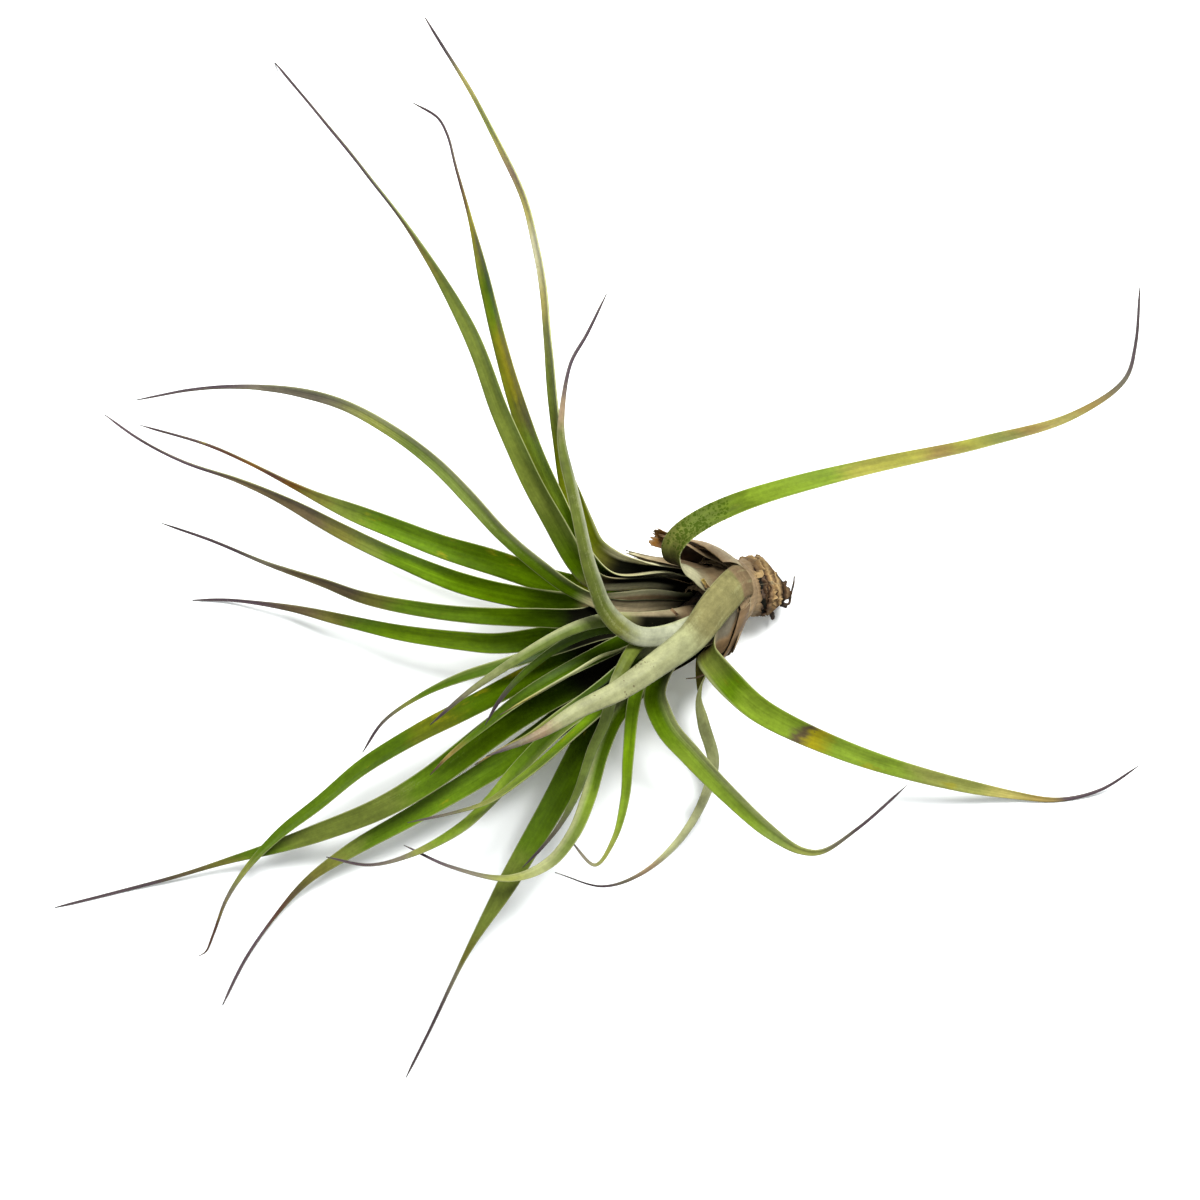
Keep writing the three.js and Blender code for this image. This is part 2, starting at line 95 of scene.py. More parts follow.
# Leaves: level counts inwards from the outermost cup, turn is the place round the axis in degrees
# (0 faces the eye), leave is where the blade leaves the cups, facing is how far the blade rolls its
# upper face to the eye, hold is how long past the neck it keeps that roll, sheath is the sheath's
# own width, and the course gives the midrib as the eye sees it on the table, with its height.
# Millimetres.
LEAVES = {
    "leaf_01": dict(level=4, turn=86, leave=50, width=12, facing=0.7, hold=40, course=[
        (-50, 14, 37), (-60, 15.8, 39), (-68, 21, 42), (-73, 31, 44), (-77.2, 44, 46), (-82, 64, 50),
        (-86, 102, 55), (-88, 124, 54), (-91.5, 142.3, 51), (-96, 160.5, 46), (-105.3, 180.3, 40),
        (-115, 199, 33), (-124, 214, 27), (-136, 233, 18)]),
    "leaf_02": dict(level=6, turn=104, leave=57, width=12, facing=0.15, course=[
        (-67, 8.5, 47.5), (-74, 15, 53), (-84, 32, 60), (-93.3, 49, 64), (-104.7, 74, 66),
        (-118.2, 108.5, 63), (-140.3, 145.3, 51), (-159, 170, 38), (-176, 191, 23), (-196, 215, 0.4)]),
    "leaf_03": dict(level=5, turn=100, leave=54, width=12, course=[
        (-62.5, 10.5, 43.5), (-73.3, 21.8, 49), (-80.8, 37, 53.5), (-92.3, 62.3, 56),
        (-105.2, 102.3, 56), (-111.2, 127.3, 53), (-117.4, 151.2, 48), (-123.5, 173, 42),
        (-127, 186, 39), (-131, 193, 37), (-141, 199, 34)]),
    "leaf_04": dict(level=3, turn=344, leave=52, width=9, course=[
        (-47, -15, 63), (-57, -10.5, 73), (-63.5, -3, 82), (-67, 6, 89), (-70.5, 17, 95),
        (-76.5, 44, 101), (-81, 64, 103), (-81.2, 74, 102), (-77.8, 94.3, 97), (-71.3, 106.3, 93),
        (-63.3, 122.6, 86)]),
    "leaf_05": dict(level=9, turn=146, leave=62, width=8, facing=-0.15, course=[
        (-61, -2, 42), (-76, 4, 48), (-90, 14, 52), (-104.5, 26.5, 55), (-118, 41.2, 56),
        (-132, 55.2, 55), (-148, 67.2, 51), (-168, 78.2, 44), (-186, 83.2, 37), (-208, 85.2, 29),
        (-230, 84, 21), (-252, 80, 14)]),
    "leaf_06": dict(level=7, turn=142, leave=58, width=13, course=[
        (-66, -1, 31), (-92, 1, 37), (-122, 7.8, 42), (-145, 16.8, 41), (-168, 27.3, 35),
        (-190, 39, 27), (-211, 48, 19), (-232, 55, 12), (-249, 63.5, 8), (-264, 74, 5)]),
    "leaf_07": dict(level=2, turn=150, leave=44, width=13.5, course=[
        (-66, 4, 24), (-84, 7.5, 28), (-107, 15.2, 31), (-130, 22.2, 31), (-153, 31, 28),
        (-176, 40, 21), (-188, 45.6, 18), (-208, 55.6, 13), (-223, 62, 10), (-250, 70, 6)]),
    "leaf_08": dict(level=8, turn=166, leave=60, width=9.5, course=[
        (-61, -4, 35), (-74, -7, 41), (-92, -6.8, 44), (-115, -6, 43), (-134, -4, 38), (-160, 1, 29),
        (-176, 6.8, 22), (-199, 14.5, 14), (-222, 24, 8), (-242, 31, 5)]),
    "leaf_09": dict(level=4, turn=172, leave=48, width=12, course=[
        (-62, -10, 22), (-84, -14, 26), (-106, -17, 27), (-122, -16, 25), (-145, -13, 20),
        (-168, -8, 13), (-191, -3, 7), (-214, 0, 2), (-229, 0, 0.4)]),
    "leaf_10": dict(level=10, turn=184, leave=62, width=7.5, course=[
        (-66, -13, 41), (-82, -18.5, 49), (-102, -25, 53), (-121.7, -31, 52), (-137.6, -38.2, 48),
        (-152.6, -48.6, 42), (-161, -61, 36)]),
    "leaf_11": dict(level=8, turn=349, leave=60, width=7, facing=-0.4, course=[
        (-50, -8, 61), (-64, -8, 69), (-78, -12, 75), (-98, -23, 78), (-120, -38, 75),
        (-134, -50, 70)]),
    "leaf_12": dict(level=10, turn=328, leave=62, width=6, facing=-0.4, course=[
        (-54, -11, 57), (-66, -12, 62), (-81, -18, 66), (-97, -30, 67), (-106, -40, 65),
        (-112, -50, 62)]),
    "leaf_13": dict(level=11, turn=215, leave=63, width=9, course=[
        (-66, -22, 46), (-82, -30, 51), (-97, -39, 52), (-114, -52, 49), (-126, -62, 45),
        (-134, -70, 42)]),
    "leaf_14": dict(level=9, turn=210, leave=60, width=12, course=[
        (-66, -19, 38), (-86.5, -27.5, 42), (-120, -44.4, 42), (-138.8, -53.9, 38), (-159.6, -66.5, 32),
        (-177.4, -80.8, 25), (-194.5, -94.2, 19), (-207.2, -107.4, 14), (-215.5, -120, 11),
        (-220.7, -134, 8), (-223.5, -140.5, 7), (-226.5, -142.5, 7)]),
    "leaf_15": dict(level=6, turn=195, leave=56, width=15, course=[
        (-66, -26, 30), (-99.5, -46, 34), (-134.5, -72, 31), (-153.4, -83, 26), (-176.4, -92.2, 18),
        (-196, -98.8, 12), (-214, -104, 7.5), (-237, -111, 3), (-260, -117, 0.4), (-284, -123, 0.4)]),
    "leaf_16": dict(level=3, turn=206, leave=46, width=14, course=[
        (-58, -29, 21), (-82, -49, 25), (-107, -66.3, 25), (-137.5, -84.6, 20), (-167, -101.2, 12),
        (-183, -112.4, 8), (-194.8, -125, 5), (-207.2, -142.6, 3), (-217, -162, 2)]),
    "leaf_17": dict(level=7, turn=230, leave=58, width=10.5, course=[
        (-55, -28, 36), (-66, -39, 41), (-82, -51.5, 45), (-99.5, -69, 44), (-109.4, -80.2, 42),
        (-121.4, -91.2, 39), (-140.8, -101.6, 34), (-158, -106, 30), (-175.5, -102.8, 26)]),
    "leaf_18": dict(level=8, turn=250, leave=60, width=9, course=[
        (-50, -27, 41), (-62, -41, 48), (-83, -60, 54), (-97, -71.4, 53), (-110, -80.5, 50),
        (-126, -85.5, 46), (-143, -89, 43)]),
    "leaf_19": dict(level=6, turn=252, leave=52, width=10, facing=0.5, course=[
        (-49, -35, 34), (-59, -46, 38), (-65, -60, 41), (-70.3, -79, 38), (-76.4, -93.6, 36),
        (-86.4, -105.4, 34), (-102, -111.4, 33), (-126, -106.6, 31), (-144.5, -98, 30)]),
    "leaf_20": dict(level=4, turn=243, leave=50, width=15.5, facing=0.7, course=[
        (-49.5, -31, 27), (-62, -42.5, 29), (-73.5, -62, 31), (-85.5, -84, 29), (-104, -115.5, 22),
        (-119.8, -142.3, 12), (-134.2, -172.3, 3), (-143.6, -191, 0.6)]),
    "leaf_21": dict(level=10, turn=266, leave=61, width=7, facing=0.7, course=[
        (-47, -26, 46), (-52, -40, 52), (-54.5, -62, 47), (-56, -80, 38), (-60.5, -96, 32),
        (-68, -106, 29), (-78, -96, 29)]),
    "leaf_22": dict(level=2, turn=262, leave=40, width=9, facing=-0.6, course=[
        (-26, -38, 26), (-24, -49, 22), (-20, -65, 17), (-24, -80, 14), (-34.5, -97, 12),
        (-50, -110, 11), (-65, -114.6, 12), (-84, -109, 15)]),
    "leaf_23": dict(level=5, turn=296, leave=54, width=11.5, facing=0.9, course=[
        (-39, -29, 50), (-43.3, -38, 49), (-39.2, -50.6, 45), (-29.5, -62, 38), (-14.2, -78, 28),
        (1.2, -92, 19), (14, -100, 14), (22.6, -100.6, 13), (37.5, -91, 16), (57, -74, 22)]),
    "leaf_24": dict(level=2, turn=323, leave=44, width=12.5, facing=0.9, course=[
        (-19.5, -17, 50.5), (-22, -19.5, 54.5), (-22, -22.5, 57.5), (-19.3, -26.5, 58.8),
        (-11.5, -35.8, 54.5), (0, -45.2, 47), (31.6, -60, 31), (66.6, -71, 15), (99, -77.8, 3),
        (118, -79.8, 0.4), (134, -76, 3), (150, -66, 8)]),
    "leaf_25": dict(level=2, turn=28, leave=51, width=11.5, facing=0.4, sheath=12.5, course=[
        (-30, 12, 60), (-34, 13.8, 65), (-36.2, 16.8, 69.5), (-36.4, 20.8, 73), (-33.4, 25.5, 75.5),
        (-26, 31, 76.5), (-14, 36.8, 76), (3, 42.8, 73), (41, 52.7, 61), (87, 62.8, 42), (124, 74, 24),
        (144, 88.3, 14), (148.2, 102, 10), (150, 126, 8)]),
    "leaf_26": dict(level=0, turn=12, leave=34, width=16, facing=-0.8, sheath=13, course=[
        (-14.5, 2.5, 55), (-20, -3.5, 63), (-29.5, -15.5, 71), (-42, -25, 78), (-58, -36, 85),
        (-74, -43.8, 91), (-91, -54, 97), (-111.5, -62.6, 101)]),
    "leaf_27": dict(level=4, turn=330, leave=54, width=7, facing=-0.5, course=[
        (-48, -16, 59), (-58, -30, 66), (-64, -49, 65), (-69, -60, 61), (-75, -77, 53), (-82, -90, 46),
        (-90, -100, 41), (-97, -107, 37)]),
    "leaf_28": dict(level=7, turn=309, leave=58, width=7, course=[
        (-48, -21, 53), (-66, -34, 58), (-80, -44, 61), (-94, -54, 62), (-106, -60, 62),
        (-116, -66, 61)]),
    "leaf_29": dict(level=12, turn=250, leave=64, width=4, facing=-0.4, course=[
        (-58, -20, 50), (-66, -23, 56), (-78, -30, 61), (-92, -38, 62), (-106, -46, 60)]),
}
HUSKS = {
    "cut_leaf": dict(level=1, turn=80, leave=41, width=8, course=[
        (-35, 24, 36), (-43.5, 26.5, 38)]),
    "husk_under": dict(level=0, turn=180, leave=40, width=22, course=[]),
    "husk_side": dict(level=0, turn=268, leave=36, width=24, course=[]),
    "torn_sheath": dict(level=3, turn=82, leave=48, width=9, course=[
        (-47, 17.5, 32), (-56, 19.8, 32)]),
}


# Where each blade draws in to its thread-like tip, by share of its length, and how much fuller than
# its solid it is before that
THREADS = {
    "leaf_01": (0.94, -0.12), "leaf_02": (0.62, 0), "leaf_03": (0.79, 0.28), "leaf_04": (0.78, 0.22),
    "leaf_05": (0.82, 0.25), "leaf_06": (0.73, 0.04), "leaf_07": (0.72, 0.14), "leaf_08": (0.74, 0),
    "leaf_09": (0.84, 0), "leaf_10": (0.74, 0), "leaf_14": (0.86, 0.08), "leaf_15": (0.74, 0),
    "leaf_16": (0.78, 0), "leaf_17": (0.8, 0), "leaf_18": (0.82, 0), "leaf_19": (0.78, 0),
    "leaf_20": (0.72, 0), "leaf_21": (0.8, 0), "leaf_22": (0.8, 0), "leaf_23": (0.76, 0.04),
    "leaf_24": (0.82, 0), "leaf_25": (0.84, -0.06), "leaf_26": (0.92, 0),
}
SHORT_THREAD = (0.86, 0)


def tone(red, green, blue):
    """A display colour, 0 to 255, as the linear colour that Blender holds."""
    shares = [value / 255 for value in (red, green, blue)]
    return tuple(c / 12.92 if c <= 0.04045 else ((c + 0.055) / 1.055) ** 2.4 for c in shares)


def colour_property(name, description, value):
    return FloatVectorProperty(
        name=name, description=description, subtype="COLOR", size=3, min=0, max=1, default=value)


class BladeSizes(bpy.types.PropertyGroup):
    """Sizes that every leaf shares."""
    thickness: FloatProperty(
        name="Thickness", description="Of a blade along its midrib",
        default=0.9 * MM, min=0.3 * MM, max=3 * MM, unit="LENGTH")
    margin_thickness: FloatProperty(
        name="Margin thickness", description="Of a blade just inside its margins",
        default=0.65 * MM, min=0.2 * MM, max=3 * MM, unit="LENGTH")
    channel: FloatProperty(
        name="Channel", description="Half the angle of the arc that a blade is bent to",
        default=0.6, min=0.05, max=1.5, unit="ROTATION")
    tip_width: FloatProperty(
        name="Tip width", description="Width just before a blade draws to its point",
        default=1.3 * MM, min=0.1 * MM, max=5 * MM, unit="LENGTH")
    thread_width: FloatProperty(
        name="Thread width", description="Where a blade has drawn in to its thread-like tip",
        default=1.9 * MM, min=0.3 * MM, max=5 * MM, unit="LENGTH")
    step_length: FloatProperty(
        name="Step length", description="Distance between rings of vertices on a straight stretch",
        default=2.3 * MM, min=0.5 * MM, max=20 * MM, unit="LENGTH")
    across: IntProperty(
        name="Faces across", description="On each side of a leaf", default=14, min=4, max=40)
    crease: FloatProperty(
        name="Crease", description="Depth of the groove along the midrib",
        default=0.16 * MM, min=0, max=1 * MM, unit="LENGTH")
    wave: FloatProperty(
        name="Wave", description="How far the margins wander up and down",
        default=0.35 * MM, min=0, max=2 * MM, unit="LENGTH")


class PlantColours(bpy.types.PropertyGroup):
    """Colours of the leaf tissue, the husks and the stump."""
    # Shade is painted shade: the dark deep inside the rosette, between the sheaths and in cracks
    shade: colour_property("Shade", "Deep inside the rosette and in cracks", tone(14, 14, 8))
    # Forest is partly the blades' own darker green and partly painted shade where they leave the rosette
    forest: colour_property("Forest", "Upper faces where they leave the rosette", tone(40, 58, 2))
    deep: colour_property("Deep green", "Old upper faces", tone(58, 80, 2))
    green: colour_property("Green", "Most upper faces", tone(72, 96, 10))
    moss: colour_property("Moss", "Greyish upper faces", tone(86, 96, 36))
    fern: colour_property("Fern", "Greyish green under fine scales", tone(96, 110, 48))
    grass: colour_property("Grass green", "Young upper faces", tone(84, 110, 2))
    meadow: colour_property("Meadow", "Upper faces in full light", tone(98, 118, 32))
    lime: colour_property("Lime", "The brightest stretch of the arching leaf", tone(112, 134, 38))
    olive: colour_property("Olive", "Between the green and a dry tip", tone(86, 84, 34))
    umber: colour_property("Umber", "Brownish stretches before a tip", tone(72, 62, 42))
    mustard: colour_property("Mustard", "Ageing patches", tone(122, 114, 16))
    khaki: colour_property("Khaki", "Between green and mustard", tone(76, 84, 8))
    hay: colour_property("Hay", "Backs of old blades near the sheath", tone(122, 117, 76))
    fade: colour_property("Fading green", "Where a leaf begins to fade", tone(110, 114, 54))
    straw: colour_property("Straw", "Pale faded stretches", tone(142, 134, 72))
    yellow: colour_property("Yellow", "The fading middle of the arching leaf", tone(140, 138, 54))
    tan: colour_property("Tan", "Drying stretches near a tip", tone(130, 112, 58))
    peach: colour_property("Peach", "Pinkish drying stretches", tone(134, 114, 88))
    rust: colour_property("Rust", "Orange-brown edge of a dry tip", tone(88, 58, 18))
    maroon: colour_property("Maroon", "Red-brown tips", tone(68, 44, 36))
    plum: colour_property("Plum", "Purple-grey tips", tone(66, 54, 60))
    ash: colour_property("Ash", "Grey stretches before a tip", tone(94, 88, 74))
    sage: colour_property("Sage", "Backs of blades under their scales", tone(122, 126, 82))
    scale: colour_property("Scale", "Backs of blades with the thickest scales", tone(146, 148, 106))
    frost: colour_property("Frost", "Backs whitened by their scales", tone(160, 163, 136))
    cream: colour_property("Cream", "Inside of the sheaths and the pale curl", tone(170, 166, 132))
    sand: colour_property("Sand", "Sheaths between cream and taupe", tone(136, 124, 96))
    taupe: colour_property("Taupe", "Outside of the sheaths", tone(123, 104, 77))
    ochre: colour_property("Ochre", "Worn ridges of the stump", tone(116, 92, 60))
    husk: colour_property("Husk", "Dry outer sheaths", tone(100, 80, 56))
    bark: colour_property("Bark", "Stump and torn ends", tone(62, 44, 28))
    pith: colour_property("Pith", "Pale breaks in the stump", tone(152, 128, 88))


class StageSettings(bpy.types.PropertyGroup):
    """Floor, lights and camera."""
    floor: colour_property("Floor", "Colour of the floor", (0.93, 0.95, 0.955))
    key_power: FloatProperty(
        name="Key light", description="Of the large soft light beyond the leaf tips",
        default=36, min=0, max=500, unit="POWER")
    fill_power: FloatProperty(
        name="Fill light", description="Of the soft light over the eye",
        default=7, min=0, max=500, unit="POWER")
    ambient: FloatProperty(
        name="Ambient", description="Strength of the light from all round",
        default=0.3, min=0, max=5)
    lens: FloatProperty(
        name="Lens", description="Focal length on a 36 mm sensor", default=82.5, min=10, max=300,
        unit="CAMERA")


AXIS = Vector((
    math.cos(AXIS_RISE) * math.cos(AXIS_HEADING),
    math.cos(AXIS_RISE) * math.sin(AXIS_HEADING),
    math.sin(AXIS_RISE),
))


def flatten_to(vector, normal):
    """The part of a vector that lies in the plane across a unit normal."""
    return vector - normal * vector.dot(normal)


FACE_UP = flatten_to(Vector((0, 0, 1)), AXIS).normalized()
FACE_SIDE = AXIS.cross(FACE_UP)


def lerp(a, b, part):
    return a + (b - a) * part


def clamp(value, low=0.0, high=1.0):
    return min(max(value, low), high)


def smoothstep(value, low, high):
    part = clamp((value - low) / (high - low))
    return part * part * (3 - 2 * part)


def outward(turn):
    """Direction that points out of the axis at a place round it, in degrees."""
    angle = math.radians(turn)
    return FACE_UP * math.cos(angle) + FACE_SIDE * math.sin(angle)


def on_axis(along):
    """Point of the stem's bowed axis."""
    bow = AXIS_BOW * math.sin(math.pi * clamp(along / BOW_LENGTH))
    return CUT_END + AXIS * along + FACE_SIDE * bow


def stem_radius(along):
    for (a, ra), (b, rb) in zip(STEM_PROFILE, STEM_PROFILE[1:]):
        if along <= b * MM:
            return lerp(ra, rb, (along / MM - a) / (b - a)) * MM
    return 0.0


def sheath_start(level):
    return FIRST_SHEATH + LEVEL_STEP * level


def cup_radius(level, along, thickness):
    """Radius of a level's cup: it leaves the stem and flares to its mouth."""
    start = sheath_start(level)
    foot = stem_radius(start) + STEM_GAP + thickness / 2
    mouth = OUTER_RADIUS - LEVEL_PITCH * level
    opened = min((along - start) / FLARE_LENGTH, 1)
    return lerp(foot, mouth, 1 - (1 - opened) ** FLARE_POWER)


def seen_at(x, y, height):
    """The point this high that the eye sees at x, y on the table, all in millimetres."""
    shrink = 1 - height * MM / EYE.z
    return Vector((lerp(EYE.x, x * MM, shrink), lerp(EYE.y, y * MM, shrink), height * MM))


def curve_point(points, part):
    """Point of a centripetal Catmull-Rom curve, its spans all taking an equal share of part."""
    place = clamp(part) * (len(points) - 1)
    span = min(int(place), len(points) - 2)
    along = place - span
    p1, p2 = points[span], points[span + 1]
    p0 = points[span - 1] if span > 0 else 2 * p1 - p2
    p3 = points[span + 2] if span + 2 < len(points) else 2 * p2 - p1
    d0, d1, d2 = ((b - a).length ** 0.5 for a, b in ((p0, p1), (p1, p2), (p2, p3)))
    t1 = ((p1 - p0) / d0 - (p2 - p0) / (d0 + d1) + (p2 - p1) / d1) * d1
    t2 = ((p2 - p1) / d1 - (p3 - p1) / (d1 + d2) + (p3 - p2) / d2) * d1
    bend = 3 * (p2 - p1) - 2 * t1 - t2
    twist = 2 * (p1 - p2) + t1 + t2
    return p1 + (t1 + (bend + twist * along) * along) * along


class Midrib:
    """A leaf's midrib, with the direction of the blade's upper face carried along it."""

    def __init__(self, leaf, sizes, thread=SHORT_THREAD):
        self.leaf = leaf
        self.thread, self.fullness = thread
        self.sizes = sizes
        start = sheath_start(leaf["level"])
        places = [lerp(start, leaf["leave"] * MM, part) for part in (0, 0.3, 0.65, 1)]
        sheath = [self.sheath_point(along) for along in places]
        points = sheath + [seen_at(*point) for point in leaf["course"]]
        self.points = [curve_point(points, i / SAMPLES) for i in range(SAMPLES + 1)]
        self.lengths = [0.0]
        self.efforts = [0.0]
        self.tangents = []
        self.faces = []
        face = -outward(leaf["turn"])
        for i, point in enumerate(self.points):
            before = self.points[max(i - 1, 0)]
            after = self.points[min(i + 1, SAMPLES)]
            tangent = (after - before).normalized()
            if i:
                length = (point - before).length
                bend = tangent.angle(self.tangents[-1])
                self.lengths.append(self.lengths[-1] + length)
                self.efforts.append(self.efforts[-1] + length + BEND_WEIGHT * bend)
            face = flatten_to(face, tangent).normalized()
            self.tangents.append(tangent)
            self.faces.append(face)
        self.total = self.lengths[-1]
        neck_sample = round(SAMPLES * (len(sheath) - 1) / (len(points) - 1))
        self.neck = self.lengths[neck_sample]
        for i in range(SAMPLES + 1):
            self.faces[i] = self.rolled_face(i)

    def sheath_point(self, along):
        radius = cup_radius(self.leaf["level"], along, self.sizes.thickness)
        return on_axis(along) + outward(self.leaf["turn"]) * radius

    def rolled_face(self, i):
        """The upper face past the neck, rolled so that it (or its back) meets the eye."""
        facing = self.leaf.get("facing", 0)
        tangent, face = self.tangents[i], self.faces[i]
        eyeward = flatten_to(Vector((0, 0, -1 if facing < 0 else 1)), tangent)
        roll = math.atan2(eyeward.dot(tangent.cross(face)), eyeward.dot(face))
        part = smoothstep(self.lengths[i], self.neck, self.neck + NECK)
        hold = self.leaf.get("hold", 0) * MM
        if hold:
            part -= smoothstep(self.lengths[i], self.neck + hold, self.neck + 2 * hold)
        return Matrix.Rotation(roll * abs(facing) * part, 3, tangent) @ face

    def frame_at(self, length):
        """Point, tangent and upper face at a length along the midrib."""
        i = min(max(bisect_right(self.lengths, length) - 1, 0), SAMPLES - 1)
        part = (length - self.lengths[i]) / (self.lengths[i + 1] - self.lengths[i])
        point = self.points[i].lerp(self.points[i + 1], part)
        tangent = self.tangents[i].lerp(self.tangents[i + 1], part).normalized()
        face = flatten_to(self.faces[i].lerp(self.faces[i + 1], part), tangent).normalized()
        return point, tangent, face

    def ring_lengths(self, step_length):
        """Lengths of the rings of vertices, closer together where the midrib bends."""
        full = self.efforts[-1]
        count = max(round(full / step_length), 8)
        found = []
        for ring in range(count + 1):
            wanted = full * ring / count
            i = min(max(bisect_right(self.efforts, wanted) - 1, 0), SAMPLES - 1)
            part = (wanted - self.efforts[i]) / (self.efforts[i + 1] - self.efforts[i])
            found.append(lerp(self.lengths[i], self.lengths[i + 1], clamp(part)))
        return found

    def section_at(self, length, husk):
        """Width and bend across the leaf at a length."""
        leaf, sizes = self.leaf, self.sizes
        point = self.frame_at(length)[0]
        along = clamp((point - CUT_END).dot(AXIS), sheath_start(leaf["level"]), leaf["leave"] * MM)
        cup = cup_radius(leaf["level"], along, sizes.thickness)
        half_angle = HUSK_HALF_ANGLE if husk else SHEATH_HALF_ANGLE
        blade_width = leaf["width"] * MM
        grown = leaf.get("sheath", min(SHEATH_WIDTH / MM, SHEATH_RATIO * leaf["width"])) * MM
        widest = HUSK_WIDTH if husk else grown
        sheath_width = min(2 * half_angle * cup, widest)
        past = max(length - self.neck, 0) / ((self.total - self.neck) or 1)
        if not husk:
            blade_width = lerp(sizes.tip_width, blade_width, max(1 - past, 0) ** TAPER_POWER)
        blade = smoothstep(length, self.neck - NECK / 3, self.neck + NECK * 2 / 3)
        width = lerp(sheath_width, blade_width, blade)
        if not husk:
            width = self.drawn_in(width, length / self.total)
        return width, lerp(1 / cup, 2 * sizes.channel / width, blade)

    def drawn_in(self, width, part):
        """The width once the blade is fuller in its middle and draws in to its thread-like tip."""
        thread = self.thread
        fuller = smoothstep(part, 0.25, 0.42) * (1 - smoothstep(part, thread - 0.12, thread + 0.02))
        width *= 1 + self.fullness * fuller
        to_tip = clamp((part - thread) / (1 - thread))
        drawn = min(width, self.sizes.thread_width * lerp(1, 0.52, to_tip))
        return lerp(width, drawn, smoothstep(part, thread - 0.14, thread + 0.08))


POINT_LENGTH = 7 * MM
LEAST_WIDTH = 0.3 * MM
WAVE_LENGTH = 26 * MM
CREASE_SHARE = 0.14
CREASE_WIDTH = 8 * MM  # of a blade whose crease has its full depth
SIDE_GAP = 0.05

# What a material reads at each vertex: its place across the leaf from -1 to 1, the same in metres, its
# place along the leaf in metres, and the same by share of the leaf's length
PLACES = ("across", "lateral", "along", "part")


def flat_leaf(across, rings):
    """A flat closed leaf, two by one: its upper face, its back below it and a rim that joins them."""
    bm = bmesh.new()
    back = bm.verts.layers.float.new("back")
    for name in PLACES:
        bm.verts.layers.float.new(name)
    bmesh.ops.create_grid(bm, x_segments=across, y_segments=rings, size=1)
    upper_rim = [edge for edge in bm.edges if edge.is_boundary]
    upper = list(bm.verts) + list(bm.edges) + list(bm.faces)
    copied = bmesh.ops.duplicate(bm, geom=upper)["geom"]
    lower = [item for item in copied if isinstance(item, bmesh.types.BMVert)]
    lower_faces = [item for item in copied if isinstance(item, bmesh.types.BMFace)]
    lower_rim = [
        item for item in copied if isinstance(item, bmesh.types.BMEdge) and item.is_boundary]
    bmesh.ops.translate(bm, verts=lower, vec=(0, 0, -SIDE_GAP))
    bmesh.ops.reverse_faces(bm, faces=lower_faces)
    for vert in lower:
        vert[back] = 1
    bmesh.ops.bridge_loops(bm, edges=upper_rim + lower_rim)
    bmesh.ops.recalc_face_normals(bm, faces=bm.faces)
    return bm


def write_place(bm, vert, *values):
    """Writes where on its leaf a vertex is."""
    for name, value in zip(PLACES, values):
        vert[bm.verts.layers.float[name]] = value


def tear_depth(share, seed):
    """How deep a ragged end is torn at a place across it."""
    coarse = noise.noise(Vector((share * 5, seed, 3)))
    fine = noise.noise(Vector((share * 17, seed, 9)))
    return abs(coarse) + 0.6 * abs(fine)


def half_thickness(sizes, share, left):
    """Half the thickness at a place across a leaf, this far from its tip."""
    half = lerp(sizes.thickness, sizes.margin_thickness, share * share) / 2
    half *= max(1 - abs(share) ** 14, 0.2)
    return half * lerp(0.45, 1, smoothstep(left, 0, 6 * POINT_LENGTH))


def bend_leaf(bm, midrib, rings, seed, husk=False, ragged=0.0):
    """Bends a flat leaf to its midrib, and writes where on the leaf each vertex is."""
    sizes = midrib.sizes
    back = bm.verts.layers.float["back"]
    for vert in bm.verts:
        share = vert.co.x
        length = rings[round((vert.co.y + 1) / 2 * (len(rings) - 1))]
        if ragged:
            length *= 1 - ragged * tear_depth(share, seed) * smoothstep(
                length, midrib.total * 0.4, midrib.total)
        left = midrib.total - length
        point, tangent, face = midrib.frame_at(length)
        width, curvature = midrib.section_at(length, husk)
        if not husk:
            width = max(width * min(left / POINT_LENGTH, 1) ** 0.5, LEAST_WIDTH)
        half = half_thickness(sizes, share, left)
        angle = share * width * curvature / 2
        reach = 1 / curvature - half * (-1 if vert[back] else 1)
        side = tangent.cross(face)
        spot = point + face * (1 / curvature - reach * math.cos(angle)) + side * reach * math.sin(angle)
        free = smoothstep(length, midrib.neck * 0.8, midrib.neck + NECK)
        place = Vector((length / WAVE_LENGTH, seed, share))
        sway = sizes.wave * noise.noise(place) * (0.4 + share * share) * free
        groove = sizes.crease * math.exp(-(share / CREASE_SHARE) ** 2) * min(width / CREASE_WIDTH, 1)
        spot += face * (sway - groove)
        vert.co = (spot.x, spot.y, max(spot.z, 0))
        write_place(bm, vert, share, share * width / 2, length, length / midrib.total)


def add_object(name, data):
    """Puts a mesh, a light or a camera in the scene."""
    item = bpy.data.objects.new(name, data)
    bpy.context.scene.collection.objects.link(item)
    return item


def add_mesh(name, bm, material):
    """Closes a bmesh into an object."""
    mesh = bpy.data.meshes.new(name)
    bm.to_mesh(mesh)
    bm.free()
    mesh.materials.append(material)
    return add_object(name, mesh)


def add_piece(name, bm, material, node=None):
    """Closes a bmesh into a smooth piece of the plant, which stands for a CAD node if one is named."""
    for face in bm.faces:
        face.smooth = True
    piece = add_mesh(name, bm, material)
    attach(piece, "root")
    if node:
        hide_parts(node)


def colour_stops(run):
    """The stops of a ramp, from a run of colours: each one's name, then the hundredths where it stands."""
    stops = []
    for stretch in run.split(", "):
        name, *places = stretch.split()
        stops += [(float(place) / 100, name) for place in places]
    return stops


